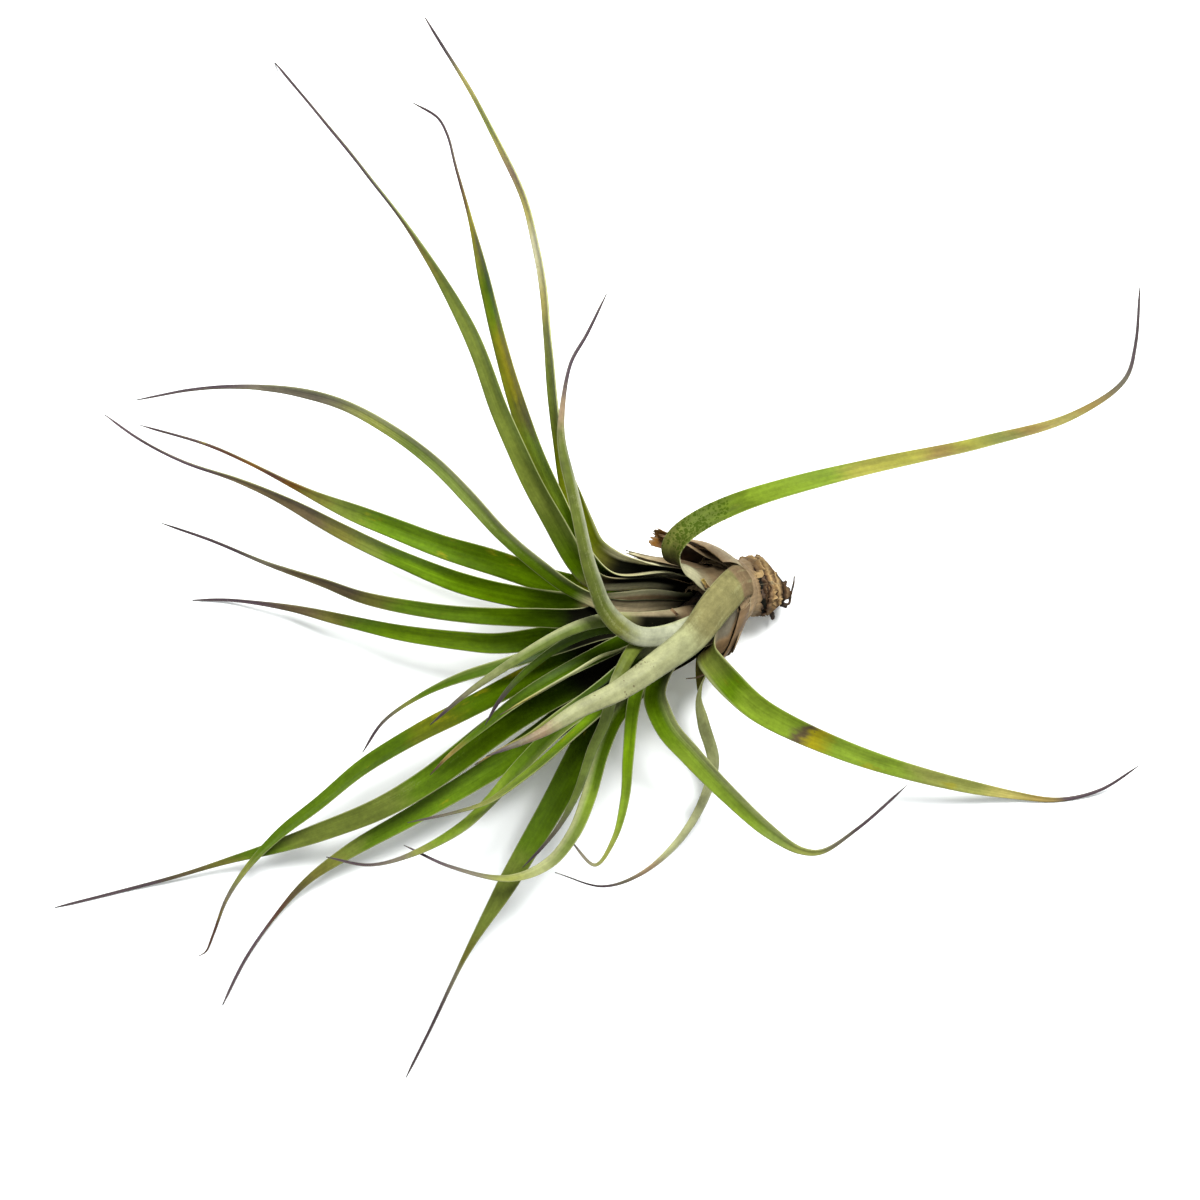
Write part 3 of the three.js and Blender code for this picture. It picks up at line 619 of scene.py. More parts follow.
class Nodes:
    """A node tree, with the kinds of node that the materials are made of."""

    def __init__(self, tree):
        self.tree = tree

    def feed(self, socket, value):
        """Gives a socket a value or a link."""
        if isinstance(value, bpy.types.NodeSocket):
            self.tree.links.new(value, socket)
        else:
            socket.default_value = value

    def add(self, kind, settings=None, inputs=None):
        """Adds a node, sets its settings and feeds its inputs."""
        node = self.tree.nodes.new(kind)
        for key, value in (settings or {}).items():
            setattr(node, key, value)
        for key, value in (inputs or {}).items():
            self.feed(node.inputs[key], value)
        return node

    def maths(self, operation, *values, clamped=False):
        settings = {"operation": operation, "use_clamp": clamped}
        return self.add("ShaderNodeMath", settings, dict(enumerate(values))).outputs[0]

    def times(self, a, b):
        return self.maths("MULTIPLY", a, b)

    def plus(self, a, b):
        return self.maths("ADD", a, b)

    def minus(self, a, b):
        return self.maths("SUBTRACT", a, b)

    def vector_maths(self, operation, *values):
        settings = {"operation": operation}
        return self.add("ShaderNodeVectorMath", settings, dict(enumerate(values))).outputs[0]

    def combined(self, x, y, z):
        return self.add("ShaderNodeCombineXYZ", None, {0: x, 1: y, 2: z}).outputs[0]

    def ranged(self, value, low, high, to_low=0, to_high=1):
        """A value brought smoothly from one range to another, and held inside it."""
        return self.add("ShaderNodeMapRange", {"interpolation_type": "SMOOTHSTEP"}, {
            "Value": value, "From Min": low, "From Max": high, "To Min": to_low,
            "To Max": to_high}).outputs["Result"]

    def mixed(self, share, first, second, blend="MIX"):
        """Two colours mixed, the second by its share. A mix node takes colours at its inputs 6 and 7."""
        settings = {"data_type": "RGBA", "blend_type": blend}
        return self.add("ShaderNodeMix", settings, {0: share, 6: first, 7: second}).outputs[2]

    def noise(self, vector, scale, detail=2, rough=0.5):
        return self.add("ShaderNodeTexNoise", None, {
            "Vector": vector, "Scale": scale, "Detail": detail, "Roughness": rough}).outputs[0]

    def attribute(self, name):
        return self.add("ShaderNodeAttribute", {"attribute_name": name}).outputs["Fac"]

    def spot(self):
        """The place on the object, in metres."""
        return self.add("ShaderNodeTexCoord").outputs["Object"]

    def ramp(self, value, run, colours):
        """A run of colours along a value."""
        node = self.add("ShaderNodeValToRGB", None, {"Fac": value})
        ramp = node.color_ramp
        ramp.interpolation = "EASE"
        stops = colour_stops(run)
        while len(ramp.elements) < len(stops):
            ramp.elements.new(0.5)
        for element, (place, name) in zip(ramp.elements, stops):
            element.position = place
            element.color = colours[name]
        return node.outputs["Color"]

    def effect(self, name, inputs):
        """Places a shared effect, which is built the first time that it is asked for."""
        shared = bpy.data.node_groups.get(name) or build_effect(name)
        return self.add("ShaderNodeGroup", {"node_tree": shared}, inputs).outputs

    def bump(self, shader, height, strength, distance):
        """Roughens the surface that a shader shows."""
        bump = self.add("ShaderNodeBump", None, {
            "Strength": strength, "Distance": distance, "Height": height})
        self.feed(shader.inputs["Normal"], bump.outputs["Normal"])


def new_material(name):
    """A material, its nodes and its shader."""
    material = bpy.data.materials.new(name)
    material.use_nodes = True
    tree = material.node_tree
    return material, Nodes(tree), tree.nodes["Principled BSDF"]


# Fine marks that run the length of a leaf: how many there are in a metre across it and along it
FIBRES = {"Streaks": (620, 11), "Ribs": (1500, 9)}


def lengthwise_fibres(nodes, given):
    """Fine ribs and streaks that run the length of a leaf."""
    found = {}
    for label, (across, along) in FIBRES.items():
        place = nodes.combined(
            nodes.times(given["Lateral"], across), nodes.times(given["Along"], along), given["Seed"])
        found[label] = nodes.ranged(nodes.noise(place, 1, 3), 0.3, 0.7)
    return found


def tissue_mottle(nodes, given):
    """Soft clouds and sharper blotches in the tissue, longer than they are wide."""
    place = nodes.combined(
        nodes.times(given["Lateral"], 150), nodes.times(given["Along"], 42), given["Seed"])
    clouds = nodes.noise(place, 1, 4, 0.6)
    shifted = nodes.vector_maths("MULTIPLY_ADD", place, (0.8, 0.8, 1), (31, 17, 5))
    blotch = nodes.noise(shifted, 1, 5, 0.65)
    low = nodes.minus(0.68, nodes.times(given["Blotch share"], 0.3))
    return {"Clouds": clouds, "Blotches": nodes.ranged(blotch, low, nodes.plus(low, 0.1))}


def freckles(nodes, given):
    """Small dark freckles of all sizes in loose crowds."""
    moved = nodes.vector_maths("ADD", given["Vector"], nodes.combined(0, 0, given["Seed"]))
    wander = nodes.add("ShaderNodeTexNoise", None, {
        "Vector": moved, "Scale": 900, "Detail": 2}).outputs["Color"]
    strayed = nodes.vector_maths("MULTIPLY_ADD", wander, (0.0014, 0.0014, 0.0014), moved)
    cells = nodes.add("ShaderNodeTexVoronoi", {"feature": "F1"}, {
        "Vector": strayed, "Scale": nodes.maths("DIVIDE", 1, given["Spacing"]), "Randomness": 1})
    own_size = nodes.add("ShaderNodeSeparateColor", None, {"Color": cells.outputs["Color"]}).outputs[0]
    bare = nodes.minus(0.75, nodes.times(given["Crowding"], 0.5))
    crowd = nodes.times(nodes.minus(nodes.noise(moved, 95, 3), bare), 1.7)
    size = nodes.times(crowd, nodes.plus(0.3, nodes.times(own_size, 1.2)))
    edge = nodes.minus(size, cells.outputs["Distance"])
    return {"Mask": nodes.ranged(edge, -0.02, 0.16)}


def scale_bloom(nodes, given):
    """The dusting of fine pale scales on a leaf's skin."""
    grain = nodes.noise(given["Vector"], 1400, 2, 0.6)
    patches = nodes.noise(given["Vector"], 90, 3)
    thick = nodes.plus(nodes.times(grain, 0.55), nodes.plus(
        nodes.times(patches, 0.55), nodes.times(given["Streaks"], 0.25)))
    level = nodes.minus(1.05, nodes.times(given["Amount"], 0.75))
    return {"Mask": nodes.ranged(thick, level, nodes.plus(level, 0.35)), "Height": grain}


def pale_margin(nodes, given):
    """The thin pale margins of a blade."""
    across = nodes.maths("ABSOLUTE", given["Across"])
    lateral = nodes.maths("ABSOLUTE", given["Lateral"])
    half_width = nodes.maths("DIVIDE", lateral, nodes.maths("MAXIMUM", across, 0.001))
    from_edge = nodes.maths("DIVIDE", nodes.minus(half_width, lateral), given["Width"])
    return {"Mask": nodes.ranged(nodes.maths("SUBTRACT", 1, from_edge, clamped=True), 0, 1)}


# The shared effects, and what each takes: a number, or a place where there is no value
EFFECTS = {
    "lengthwise_fibres": (lengthwise_fibres, {"Lateral": 0, "Along": 0, "Seed": 0}),
    "tissue_mottle": (tissue_mottle, {"Lateral": 0, "Along": 0, "Seed": 0, "Blotch share": 0.4}),
    "freckles": (freckles, {"Vector": None, "Seed": 0, "Spacing": 1.1 * MM, "Crowding": 0.5}),
    "scale_bloom": (scale_bloom, {"Vector": None, "Streaks": 0.5, "Amount": 0.5}),
    "pale_margin": (pale_margin, {"Across": 0, "Lateral": 0, "Width": 0.5 * MM}),
}


def build_effect(name):
    """Builds a shared effect as a node group."""
    draw, takes = EFFECTS[name]
    tree = bpy.data.node_groups.new(name, "ShaderNodeTree")
    for label, value in takes.items():
        kind = "NodeSocketVector" if value is None else "NodeSocketFloat"
        socket = tree.interface.new_socket(label, in_out="INPUT", socket_type=kind)
        if value is not None:
            socket.default_value = value
    found = draw(Nodes(tree), tree.nodes.new("NodeGroupInput").outputs)
    for label in found:
        tree.interface.new_socket(label, in_out="OUTPUT", socket_type="NodeSocketFloat")
    results = tree.nodes.new("NodeGroupOutput").inputs
    for label, value in found.items():
        tree.links.new(value, results[label])
    return tree


SILVER_BACK = "taupe 0 7, sand 13, scale 22, sage 40 78, ash 88, plum 95"
OLIVE_FACE = "shade 0, forest 22, green 40, moss 80, plum 92"


# What a look leaves unsaid
PLAIN_LOOK = {
    "patch": "mustard", "patches": 0.15, "freckle": "umber", "freckles": 0.2, "bloom": 0.06,
    "margin": "scale", "rims": (0, 0), "rim_strength": 0.25, "depth": 1, "plain": False, "dry": False}


def leaf_look(upper=OLIVE_FACE, back=SILVER_BACK, **marks):
    """A leaf's look: the run of colours along its upper face and along its back, and its marks.

    A run gives each colour's name, then the hundredths of the leaf's length where it stands.
    patch, patches: the colour of the blotches and how crowded they are
    freckle, freckles: the same for the freckles
    specks: from where to where, by share of length, freckles are crowded as its third number says
    bloom: how thick the pale scales are
    flank: a colour on one side of the midrib, 1 for the right side seen towards the tip, -1 for
        the left; a pale one is painted light and a dark one painted shade, on the flanks of the channel
    margin, rims: the colour of the margins, and how wide they are near the sheath, left and right
    rim_strength: how plain the margins are on the sheath itself
    sheath: the colours of its left and right side inside the cup, where they meet across it, and from
        where to where along it they show; a side in shade is a painted shadow between the sheaths
    depth: a share that all its colours take
    plain: whether it has blotches in place of lengthwise streaks
    dry: whether it is dry husk
    Widths and lengths are in millimetres.
    """
    return {**PLAIN_LOOK, "upper": upper, "back": back, **marks}


# Runs that begin in shade paint the shade deep inside the rosette, and forest carries it out towards the
# mouth
LOOKS = {
    "leaf_01": leaf_look(
        "shade 0 12, olive 15, khaki 20 32, moss 42, fade 47, straw 53, cream 61, straw 67, peach 71, "
        "straw 76, fade 81, straw 88, plum 94",
        freckles=0.35, rims=(0.5, 3), rim_strength=0, sheath=("shade", "cream", 0.35, 22, 46),
        depth=1.15),
    "leaf_02": leaf_look(
        "shade 0 11, umber 14, deep 18, moss 28 42 54, olive 60, umber 66, plum 72",
        flank=(1, "fern"), rims=(0.5, 2), rim_strength=0, sheath=("cream", "shade", -0.3, 14, 41)),
    "leaf_03": leaf_look(
        "shade 0 16, deep 22, green 28, meadow 34 41, olive 46, mustard 50 57, grass 61, deep 66, "
        "olive 73, mustard 77, rust 79, maroon 83, plum 90",
        flank=(-1, "khaki"), patches=0.3, rims=(0.5, 2.5), rim_strength=0.9,
        sheath=("cream", "cream", 0, 14, 30)),
    "leaf_04": leaf_look(
        back="taupe 0 5, sand 10, frost 15 26, fade 33, moss 40 70, peach 76, plum 82",
        flank=(-1, "frost"), bloom=0.5, rims=(2, 2), plain=True, depth=0.7),
    "leaf_05": leaf_look(
        "shade 0 10, sage 15, deep 19, green 25, fern 38 50, fade 60, ash 68 78, plum 85",
        flank=(1, "scale"), bloom=0.4, sheath=("sand", "shade", 0.75, 4, 41)),
    "leaf_06": leaf_look(
        "shade 0 14, forest 19, deep 27 36, green 46, moss 51, olive 56, umber 62 74, plum 82",
        rims=(0.6, 3), rim_strength=0.6, sheath=("taupe", "cream", 0.5, 9, 41), depth=1.4),
    "leaf_07": leaf_look(
        "shade 0 15, deep 18, khaki 21, deep 25 36, green 55, moss 64, olive 68, rust 71, maroon 76, "
        "rust 80, maroon 85, plum 93",
        patches=0.35, freckles=0.35, depth=1.25),
    "leaf_08": leaf_look(
        "umber 0, sand 7 12, shade 16 21, forest 27, deep 35, green 42 51, olive 57, umber 62 73, "
        "ash 79, plum 86",
        depth=0.85),
    "leaf_09": leaf_look(
        "shade 0 20, forest 29, deep 37, grass 48 60, green 66, olive 71, umber 79, plum 88",
        depth=1.15),
    "leaf_10": leaf_look(
        "shade 0 32, forest 40 46, deep 55 66, green 74, fade 80, ash 87, plum 94",
        flank=(1, "fern"), depth=0.9),
    "leaf_11": leaf_look(
        back="taupe 0 16, sand 24, fade 34, fern 42 66, sage 80, ash 90, plum 96",
        bloom=0.4, flank=(-1, "scale"), sheath=("sand", "shade", -0.45, 16, 41), plain=True,
        depth=0.75),
    "leaf_12": leaf_look(back="taupe 0, sand 12, deep 30 60, green 75, plum 92", depth=0.7),
    "leaf_13": leaf_look("shade 0, forest 28, deep 42 60, green 80, tan 90, maroon 97", rims=(0.3, 0.3)),
    "leaf_14": leaf_look(
        "shade 0 17, forest 22, deep 30 36, khaki 41 46, deep 50, green 62 78, fade 84, ash 89, "
        "maroon 94",
        patches=0.35),
    "leaf_15": leaf_look(
        "shade 0 18, forest 24, deep 33 39, green 44, moss 50 64, green 70, olive 76, umber 81, plum 86",
        bloom=0.3),
    "leaf_16": leaf_look(
        "shade 0 20, forest 32, deep 39, green 47 62, moss 68, olive 74, umber 78, maroon 83, plum 89",
        depth=1.12),
    "leaf_17": leaf_look(
        "shade 0 24, forest 34, deep 41, green 50, meadow 58 73, fade 79, ash 84, plum 93",
        flank=(-1, "fern")),
    "leaf_18": leaf_look("shade 0, forest 24, green 36, grass 50, meadow 64, fade 80, ash 88, plum 95"),
    "leaf_19": leaf_look(
        "shade 0, forest 20, deep 32, green 42, meadow 50, fern 58, sage 68, fade 76, ash 84, plum 92",
        flank=(1, "scale"), depth=1.1),
    "leaf_20": leaf_look("shade 0 24, forest 31, deep 40, green 50, moss 59 69, olive 75, ash 80, plum 86"),
    "leaf_21": leaf_look(
        "shade 0, forest 20, green 34, grass 50, meadow 70, fade 84, ash 93, plum 100",
        depth=1.3),
    "leaf_22": leaf_look(
        "shade 0, umber 10, olive 20, green 35, fade 70, plum 85",
        back="taupe 0, sand 10, sage 20 35, scale 54 68, peach 74, ash 81, plum 88",
        bloom=0.4, plain=True, depth=0.92),
    "leaf_23": leaf_look(
        "shade 0 18, deep 24, green 31, meadow 40 60, fern 68, fade 75, ash 80, plum 87",
        flank=(-1, "sage"), rims=(1.5, 1.5)),
    "leaf_24": leaf_look(
        "shade 0, umber 10, olive 13, moss 17, green 22, meadow 26 35, umber 37, mustard 39.5, "
        "meadow 44 55, fade 62 70, straw 77, tan 82, plum 87",
        freckles=0.45, patches=0.3, rims=(1.2, 2), sheath=("ash", "husk", -0.2, 0, 32)),
    "leaf_25": leaf_look(
        "shade 0, umber 15, fade 18, fern 23, meadow 28.5, lime 30 40, yellow 45 53, tan 56, "
        "yellow 60, fade 66, tan 70, straw 76, tan 80, ash 86, plum 90",
        back="taupe 0 7, sand 9, cream 11.5 17, sage 20 80, plum 92",
        specks=(0.165, 0.285, 1.15), freckle="forest", patch="yellow", patches=0.25, depth=0.62),
    "leaf_26": leaf_look(
        back="taupe 0 12, hay 13.5 32, scale 40 78, peach 85, ash 93, plum 98",
        specks=(0.5, 0.76, 0.8), freckle="umber", bloom=0.5, plain=True, depth=0.66),
    "leaf_27": leaf_look(
        back="taupe 0 7, sand 13, scale 20 28, moss 34 41, sage 46, fern 52 76, ash 88, plum 95",
        bloom=0.3, plain=True, depth=0.8),
    "leaf_28": leaf_look(
        "shade 0, forest 25, green 40, meadow 60, lime 82, tan 95, maroon 100",
        back="taupe 0, scale 10 27, forest 36, deep 56, fern 66, fade 78, tan 95, maroon 100",
        depth=0.85),
    "leaf_29": leaf_look(back="taupe 0, sand 15, sage 35, scale 70, straw 90, maroon 100"),
}


def husk_look(upper, back, **marks):
    """The look of a dry sheath, with brown patches and a papery margin."""
    husk = {"patch": "husk", "patches": 0.3, "freckle": "bark", "freckles": 0.25, "margin": "sand",
            "rim_strength": 0.6, "dry": True}
    return leaf_look(upper, back, **{**husk, **marks})


DRY_OUTSIDE = "husk 0, taupe 15 75, husk 92, bark 100"
# The inner faces of the husks begin in painted shade, deep in the cup
HUSK_LOOKS = {
    "cut_leaf": husk_look("shade 0, bark 60, husk 80", DRY_OUTSIDE),
    "husk_under": husk_look("shade 0, bark 60, husk 100", DRY_OUTSIDE),
    "husk_side": husk_look("husk 0 40, taupe 100", DRY_OUTSIDE),
    "torn_sheath": husk_look(
        "shade 0, bark 60, taupe 90",
        "husk 0, taupe 40, sand 80, cream 100",
        rims=(1.5, 1.5)),
}


BASE_END = 0.3
BLADE_MARGIN = 0.4 * MM


def tissue(nodes, look, at, mottle, colours):
    """The colours along a leaf's upper face and its back, with its patches."""
    past_base = nodes.ranged(at["part"], BASE_END / 2, BASE_END, 0.01, 0.09)
    shift = nodes.times(nodes.minus(mottle["Clouds"], 0.5), past_base)
    place = nodes.plus(at["part"], shift)
    upper = nodes.ramp(place, look["upper"], colours)
    back = nodes.ramp(place, look["back"], colours)
    share = nodes.times(mottle["Blotches"], nodes.ranged(at["part"], 0.15, 0.3, 0, 0.6))
    return nodes.mixed(at["back"], nodes.mixed(share, upper, colours[look["patch"]]), back)


def with_flank(nodes, look, at, face, colours):
    """Painted light and shade over one flank of the midrib, along the middle of the blade."""
    side, flank = look["flank"]
    beside = nodes.ranged(nodes.times(at["across"], side), -0.1, 0.9)
    middle = nodes.times(
        nodes.ranged(at["part"], 0.12, 0.3), nodes.ranged(at["part"], 0.62, 0.8, 1, 0))
    return nodes.mixed(nodes.times(beside, nodes.times(middle, 0.8)), face, colours[flank])


def with_sheath_shading(nodes, look, at, face, colours):
    """Colours of the sheath's two sides inside the cup; a side in shade is a painted shadow between
    sheaths.
    """
    left, right, meet, begin, end = look["sheath"]
    sides = nodes.mixed(
        nodes.ranged(at["across"], meet - 0.2, meet + 0.2), colours[left], colours[right])
    inside = nodes.times(
        nodes.ranged(at["along"], (begin - 5) * MM, (begin + 5) * MM),
        nodes.ranged(at["along"], (end - 7) * MM, (end + 7) * MM, 1, 0))
    return nodes.mixed(inside, face, sides)


def shading(nodes, look, at, clouds, streaks):
    """How light the tissue is, with its clouds, streaks and grain."""
    low, high = (0.95, 1.04) if look["dry"] or look["plain"] else (0.91, 1.08)
    lit = nodes.times(nodes.ranged(clouds, 0.25, 0.75, 0.76, 1.2), nodes.ranged(streaks, 0, 1, low, high))
    grain = nodes.noise(at["spot"], 520, 4, 0.7)
    return nodes.times(lit, nodes.ranged(grain, 0.3, 0.7, 0.9 * look["depth"], 1.1 * look["depth"]))


def with_margin(nodes, look, at, face, colours):
    """The pale margins, which are wider near the sheath."""
    left, right = look["rims"]
    near_sheath = nodes.ranged(at["part"], BASE_END * 0.4, BASE_END, 1, 0)
    sides = nodes.ranged(at["across"], -0.1, 0.1, left * MM, right * MM)
    wide = nodes.plus(BLADE_MARGIN, nodes.times(near_sheath, sides))
    margin = nodes.effect("pale_margin", {
        "Across": at["across"], "Lateral": at["lateral"], "Width": wide})
    strength = nodes.times(
        nodes.ranged(at["part"], 0.6, 0.85, 0.6, 0.1),
        nodes.ranged(at["part"], 0.1, 0.22, look["rim_strength"], 1))
    return nodes.mixed(nodes.times(margin["Mask"], strength), face, colours[look["margin"]])


def with_freckles(nodes, look, at, face, seed, colours):
    """The freckles, more crowded on a stretch of specks."""
    crowding = look["freckles"]
    if "specks" in look:
        low, high, crowd = look["specks"]
        stretch = nodes.times(
            nodes.ranged(at["part"], low - 0.02, low + 0.02),
            nodes.ranged(at["part"], high - 0.02, high, 1, 0))
        crowding = nodes.plus(crowding, nodes.times(stretch, crowd - crowding))
    marks = nodes.effect("freckles", {"Vector": at["spot"], "Seed": seed, "Crowding": crowding})
    return nodes.mixed(nodes.times(marks["Mask"], 0.72), face, colours[look["freckle"]])


def leaf_skin(name, look, seed, colours):
    """Material of a leaf or husk: its colours, painted shade and light, and the shared effects over them.
    """
    material, nodes, skin = new_material(name)
    at = {place: nodes.attribute(place) for place in ("back", *PLACES)}
    at["spot"] = nodes.spot()
    strip = {"Lateral": at["lateral"], "Along": at["along"], "Seed": seed}
    fibres = nodes.effect("lengthwise_fibres", strip)
    stretch = nodes.times(at["along"], 2.6 if look["plain"] else 1)
    mottle = nodes.effect("tissue_mottle", {
        **strip, "Along": stretch, "Blotch share": look["patches"]})
    face = tissue(nodes, look, at, mottle, colours)
    # painted light and shade on one flank of the channel
    if "flank" in look:
        face = with_flank(nodes, look, at, face, colours)
    # the inside of the cup, with painted shadow between the sheaths
    if "sheath" in look:
        face = with_sheath_shading(nodes, look, at, face, colours)
    lit = shading(nodes, look, at, mottle["Clouds"], fibres["Streaks"])
    face = nodes.mixed(1, face, lit, "MULTIPLY")
    bloom = nodes.effect("scale_bloom", {
        "Vector": at["spot"], "Streaks": fibres["Streaks"], "Amount": look["bloom"]})
    face = nodes.mixed(nodes.times(bloom["Mask"], 0.4), face, colours["scale"])
    face = with_margin(nodes, look, at, face, colours)
    face = with_freckles(nodes, look, at, face, seed, colours)
    nodes.feed(skin.inputs["Base Color"], face)
    dry = look["dry"]
    matt = 0.85 if dry else 0.6
    nodes.feed(skin.inputs["Roughness"], nodes.ranged(bloom["Mask"], 0, 1, matt - 0.12, matt + 0.1))
    gloss = 0.1 if dry else nodes.ranged(at["part"], 0.3, 0.5, 0, 0.12)
    nodes.feed(skin.inputs["Specular IOR Level"], gloss)
    height = nodes.plus(nodes.times(fibres["Ribs"], 0.7), nodes.times(bloom["Height"], 0.3))
    nodes.bump(skin, height, 0.3 if dry else 0.35, 0.25 * MM)
    return material


def palette(scene):
    """The plant's colours by name, as a shader takes them."""
    group = scene.air_plant_colours
    return {name: (*getattr(group, name), 1) for name in PlantColours.__annotations__}


def grow_leaf(name, seed, leaf, look, scene, husk=False, ragged=0.0):
    """One leaf or husk, from its midrib to its skin."""
    sizes = scene.air_plant_blade
    midrib = Midrib(leaf, sizes, THREADS.get(name, SHORT_THREAD))
    rings = midrib.ring_lengths(sizes.step_length)
    bm = flat_leaf(sizes.across * (2 if husk else 1), len(rings) - 1)
    bend_leaf(bm, midrib, rings, seed, husk, ragged)
    add_piece(name + "_blade", bm, leaf_skin(name + "_skin", look, seed, palette(scene)), name)


class AIR_PLANT_OT_grow_leaves(bpy.types.Operator):
    """Grow every leaf along its midrib, in place of its plain solid"""
    bl_idname = "air_plant.grow_leaves"
    bl_label = "Grow leaves"

    def execute(self, context):
        for seed, (name, leaf) in enumerate(LEAVES.items()):
            grow_leaf(name, seed, leaf, LOOKS[name], context.scene)
        return {"FINISHED"}


RAGGED = {"cut_leaf": 0.1, "husk_under": 0.2, "husk_side": 0.25, "torn_sheath": 0.35}


class AIR_PLANT_OT_wrap_husks(bpy.types.Operator):
    """Wrap the dry outer sheaths and the cut leaf round the cup"""
    bl_idname = "air_plant.wrap_husks"
    bl_label = "Wrap husks"

    def execute(self, context):
        for seed, (name, husk) in enumerate(HUSKS.items(), len(LEAVES)):
            grow_leaf(name, seed, husk, HUSK_LOOKS[name], context.scene, True, RAGGED[name])
        return {"FINISHED"}


# Wraps: sheets of dry sheath and scars round the stem. In millimetres and degrees, turns are where a
# sheet begins and ends round the axis, along is its stretch of the axis (a third number is the far
# end at its second side), slant is how much further along each end is where it faces the eye, level
# is the level of the cups that each end follows where they stand clear of the stem, rise is how far
# each end stands off, torn is how ragged each end is and crumple is how uneven the sheet is.
WRAPS = {
    "collar": dict(turns=(-180, 190), along=(15, 26.6), slant=(3.6, 0), level=(-0.45, 0.4),
                   rise=(0.2, 0), torn=(1.4, 1.2), crumple=0.22),
    "sheath_top": dict(turns=(34, 104), along=(19, 42, 50), level=(0, -0.1), rise=(0, 0.2),
                       torn=(0, 1.5), crumple=0.2),
    "skirt_low": dict(turns=(-100, -24), along=(20, 52, 34), level=(0.3, 1.4), rise=(0.1, 0),
                      torn=(0, 1.5), crumple=0.15),
    # Linings: sheets inside the cups whose inner faces are painted shade, for the dark hollows between the
    # cups
    "lining_1": dict(turns=(-178, 184), along=(23, 33), level=(0.5, 1.5)),
    "lining_2": dict(turns=(-90, 272), along=(26, 36), level=(1.5, 2.6)),
    "lining_3": dict(turns=(-20, 342), along=(29, 39), level=(2.5, 4.6)),
    "lining_4": dict(turns=(60, 422), along=(34, 44), level=(4.5, 6.8)),
    # cleft_1: a sunken sheet painted all in shade, for a dark slit in the stump
    "cleft_1": dict(turns=(-130, 85), along=(11.6, 16), slant=(3.6, 3.6), rise=(-0.3, -0.7),
                    torn=(1.6, 1)),
    "scar_1": dict(turns=(-80, 150), along=(8.4, 12.6), slant=(3.6, 3.6), rise=(1, -0.5),
                   torn=(2, 1.4)),
    "scar_2": dict(turns=(-150, 70), along=(5.8, 9.8), slant=(3.6, 3.6), rise=(0.6, -0.2),
                   torn=(1.8, 1.8)),
    "knob_1": dict(turns=(-90, 120), along=(2.6, 7), slant=(3.6, 3.6), rise=(0.9, -0.2),
                   torn=(1.8, 1.8)),
    "knob_2": dict(turns=(-180, 180), along=(-1, 4.2), slant=(3.6, 3.6), rise=(0.9, -0.2),
                   torn=(1.8, 1.6)),
    "flap_1": dict(turns=(52, 98), along=(13.4, 18.6), rise=(1, 0), torn=(2, 1.2)),
    "flap_2": dict(turns=(74, 98), along=(6.4, 11), rise=(1.6, 0), torn=(2.4, 1)),
    "flap_3": dict(turns=(-78, -28), along=(9, 16.4), rise=(0.2, 0.9), torn=(2, 2.4)),
    "flap_4": dict(turns=(-44, 4), along=(12, 15.8), rise=(1.2, 0.4), torn=(2.2, 2)),
    "flap_5": dict(turns=(26, 52), along=(14, 19), rise=(1.3, 0.2), torn=(1.6, 1.2)),
    "break_1": dict(turns=(13, 29), along=(16.2, 20), rise=(0.7, 0.5), torn=(1, 1)),
}
STUMP_DRY = "bark 0, husk 50, bark 100"
# Collar and linings are painted shade inside, the cleft is all painted shade, and scars and knobs darken to
# bark and shade at their ends and in their blotches: painted shade in the slits between them
WRAP_LOOKS = {
    "collar": husk_look("shade 0, husk 100", "husk 0, taupe 15 90, sand 100", patches=0.15),
    "sheath": husk_look("bark 0, husk 40 100", "taupe 0, sand 40, taupe 100", patches=0.2),
    "skirt": husk_look("bark 0, husk 40 100", "husk 0 100", depth=0.85),
    "lining": husk_look("shade 0 70 100", "husk 0, taupe 60", rim_strength=0),
    "cleft": husk_look("shade 0 100", "husk 0, bark 20, shade 50 100", patch="shade", rim_strength=0),
    "scar": husk_look(
        STUMP_DRY,
        "bark 0, husk 15, pith 35, ochre 60, bark 85, shade 100",
        patch="bark", patches=0.55, rim_strength=0),
    "knob": husk_look(
        STUMP_DRY,
        "bark 0, husk 30, bark 50, shade 80",
        patch="shade", patches=0.55, rim_strength=0),
    "break": husk_look("pith 0 100", "pith 0 100", patches=0.1, rim_strength=0, depth=1.05),
    "flap": husk_look(
        STUMP_DRY,
        "pith 0, ochre 30, husk 70, bark 100",
        patch="bark", patches=0.5, rim_strength=0.1),
}
WRAP_THICKNESS = 0.35 * MM
WRAP_STEP = 2  # degrees
WRAP_RINGS = 16
WRAP_CRUMPLE = 0.75
WRAP_SEED = 60


# How far the fibres of the cut end stand out of the solid's two trims, in millimetres
LOOSE = (1.4, 0.2)


def trim_cut_end(bm):
    """Trims the cut end of the stem, or of a sheet round it, on its two upright slants."""
    for (heading, reach), loose in zip(CUTS, LOOSE):
        angle = math.radians(heading)
        normal = Vector((math.cos(angle), math.sin(angle), 0))
        cut = bmesh.ops.bisect_plane(
            bm, geom=bm.verts[:] + bm.edges[:] + bm.faces[:], plane_co=normal * (reach + loose) * MM,
            plane_no=normal, clear_outer=True)
        rim = [item for item in cut["geom_cut"] if isinstance(item, bmesh.types.BMEdge)]
        if rim:
            bmesh.ops.holes_fill(bm, edges=rim)


def wrap_radius(wrap, along, part):
    """Radius of a sheet round the stem, or on the cups where they stand clear of it."""
    radius = stem_radius(max(along, 0.6 * MM))
    if "level" in wrap:
        radius = max(radius, cup_radius(lerp(*wrap["level"], part ** 3), along, 0))
    return radius + lerp(*wrap.get("rise", (0, 0)), part) * MM


